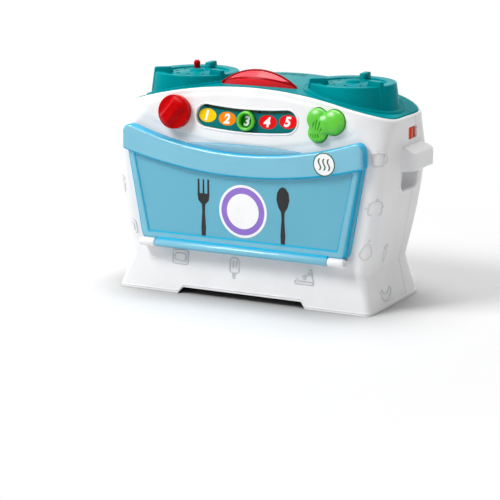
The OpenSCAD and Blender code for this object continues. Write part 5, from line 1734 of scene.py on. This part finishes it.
pictures = {
    "bread": [rounded([(-8, -6), (8, -6), (8, 2), (9, 6), (-9, 6), (-8, 2)], [2, 2, 1, 3, 3, 1], 4),
              rounded([(-5.5, -3.5), (5.5, -3.5), (5.5, 3), (-5.5, 3)], [1, 1, 2, 2], 4)],
    "ice_bar": [rounded([(-4.5, -4), (4.5, -4), (4.5, 9), (-4.5, 9)], [1.5, 1.5, 4.4, 4.4], 5),
                [(-1, -4), (-1, -9), (1, -9), (1, -4)], [(-1.6, 0), (-1.6, 6)], [(1.6, 0), (1.6, 6)]],
    "cheese": [rounded([(-9, -5), (9, -5), (6, 6)], [1, 1, 1], 3), ellipse(0, -1.5, 1.6, 1.4),
               ellipse(4.2, 1.2, 1.3, 1.2), [(-9, -5), (-9, -7.5), (9, -7.5), (9, -5)]],
    "cup": [rounded([(-5, -6), (5, -6), (6, 5), (-6, 5)], [2.5, 2.5, 0.5, 0.5], 4),
            ellipse(7, -0.5, 3, 3.4, -80, 160, 10), ellipse(0, 8, 1.5, 1.4, 200, 140, 6)],
    "pot": [rounded([(-7, -6), (7, -6), (7, 3), (-7, 3)], [2.5, 2.5, 0.4, 0.4], 4),
            ellipse(0, 3, 6.4, 3.2, 0, 180, 12), ellipse(0, 7, 1.2, 1.1), [(-7, 0), (-10, 0)],
            [(7, 0), (10, 0)]],
    "pear": [rounded([(-6.5, -4), (0, -9), (6.5, -4), (3, 4), (0, 8), (-3, 4)],
                     [4, 4, 4, 2, 2.6, 2], 5), [(0, 8), (1.5, 10.5)]],
    "carrot": [rounded([(0, -10), (3.8, 4), (-3.8, 4)], [1, 2.4, 2.4], 4), [(0, 4.5), (0, 9)],
               [(1, 4.5), (4, 8)], [(-1, 4.5), (-4, 8)], [(-2.6, 0), (0.4, 0)]],
    "banana": [ellipse(0, 8, 12, 14, 205, 130, 14) + ellipse(0, 9, 9, 9, -30, -120, 12)]}
print("pictures drawn:", len(pictures))

# %% [markdown]
# ### Pictures on the wall
# Each path becomes a thin tube that follows the casing's curved wall: on the
# front below the door, on the sides and on the foot. A side's picture is placed
# by the length of wall from the front corner's start, so it bends round the
# corner. A path with more points than a stroke has is an outline, and is closed.
# The finish is slightly greyer than the casing's, painted shade that stands in for the shading of the small
# relief, so the lines can be made out.

# %% Raised pictures
def on_wall(points, where, u0, z0, grow=1.25):
    """Points of a picture on the front, or round the corner on a side."""
    quarter = front_corner * math.pi / 2
    laid = []
    for u, v in points:
        z = z0 + v * grow * mm
        if where == "front":
            laid.append((u0 + u * grow * mm, front(z), z))
            continue
        side = 1 if where == "right" else -1
        along, half = u0 + side * u * grow * mm, half_w(z)
        turn = along / front_corner
        if along < 0:
            x, y = half - front_corner + along, front(z)
        elif along < quarter:
            x = half - front_corner * (1 - math.sin(turn))
            y = front(z) + front_corner * (1 - math.cos(turn))
        else:
            x, y = half, front(z) + front_corner + along - quarter
        laid.append((side * x, y, z))
    return laid


wall_plan = (("bread", "front", -82, 40.5), ("ice_bar", "front", -12, 35), ("cheese", "front", 76, 36),
             ("cup", "right", 10, 172), ("pot", "right", 12, 118), ("pear", "right", 9, 70),
             ("carrot", "right", 50, 60), ("banana", "right", 56, 15),
             ("carrot", "left", 12, 116), ("bread", "left", 10, 70), ("cheese", "left", 52, 64),
             ("pot", "left", 48, 100), ("cup", "left", 56, 20))
longest_stroke = 13
for k, (name, where, u0, z0) in enumerate(wall_plan):
    paths = []
    for path in pictures[name]:
        whole = path + path[:1] if len(path) > longest_stroke else path
        paths.append(on_wall(whole, where, u0 * mm, z0 * mm))
    tubes("relief_%s_%d" % (name, k), paths, 0.85 * mm, relief_shade_white, "casing")
print("raised pictures:", len(wall_plan))

# %% [markdown]
# ## Finishes for the CAD parts that stay
# The inner box, the underside, the boards, the batteries and the screws are
# plain parts whose CAD shape is right. They stay as they are, and get the
# finishes above by the material slot that the record names for each. Only the
# ring that holds the speaker is white instead, like the casing round it.

# %% CAD finishes
finish = {"white_shell": white, "teal_cover": teal, "teal_strip": teal_strip, "liner": liner_paint,
          "clear_blue": door_blue, "clear_red": lens_red, "red_plastic": red,
          "green_plastic": green, "orange_plastic": orange, "black_plastic": black_paint,
          "grey_plastic": grey_paint, "soft_rubber": rubber, "board": board.material,
          "cell_wrap": cell_paint, "wire_cover": wire_paint, "steel": steel.material}
slot_of = {part["node"]: part["material_slot"] for part in frame["record"]["subparts"]}
slot_of["speaker_ring"] = "white_shell"
for name, ob in nodes.items():
    paint = finish[slot_of[name]]
    for k in range(len(ob.data.materials)):
        ob.data.materials[k] = paint
    if not ob.data.materials:
        ob.data.materials.append(paint)
print("CAD parts with a finish:", len(nodes))

# %% [markdown]
# ## The floor
# The floor is a wide pale slab. Where something stands close over it, an Ambient Occlusion node sees little
# open sky and darkens its colour: a painted contact shadow under the foot. Far from the oven the camera sees
# it plain white, so that it runs into the white background without an edge.

# %% Floor
floor_top, floor_half = -0.2 * mm, 3
slab = prism(box_outline(-floor_half, -floor_half, floor_half, floor_half, 0.5), -20 * mm, floor_top)
floor = to_object(slab, "floor", None, None, 30)
floor_paint = Paint("studio_floor", roughness=0.6, specular_ior_level=0.1)
sweep = floor_paint.noise(0.9, 2.0)
pale = floor_paint.mix((0.8, 0.8, 0.8, 1), (0.77, 0.77, 0.775, 1), sweep)
# The AO darkens the floor's colour under the oven: a painted contact shadow.
open_sky = floor_paint.node("AmbientOcclusion", {"samples": 8}, {"Distance": 0.07}, out="AO")
floor_paint.set(base_color=floor_paint.mix((0.1, 0.1, 0.1, 1), pale, open_sky))
far = floor_paint.node("VectorMath", {"operation": "LENGTH"}, {0: floor_paint.place}, out="Value")
white_far = floor_paint.looked_at() * floor_paint.between(0.2, 0.62, far)
glow = floor_paint.node("Emission", {}, {"Color": (1, 1, 1, 1), "Strength": 1.0})
both = floor_paint.node("MixShader", {}, {0: white_far, 1: Out(floor_paint, floor_paint.shader.outputs[0]),
                                          2: glow})
floor_paint.feed(floor_paint.tree.nodes["Material Output"].inputs["Surface"], both)
floor.data.materials.append(floor_paint.material)
print("floor", 2 * floor_half, "m wide, its top", floor_top / mm, "mm up")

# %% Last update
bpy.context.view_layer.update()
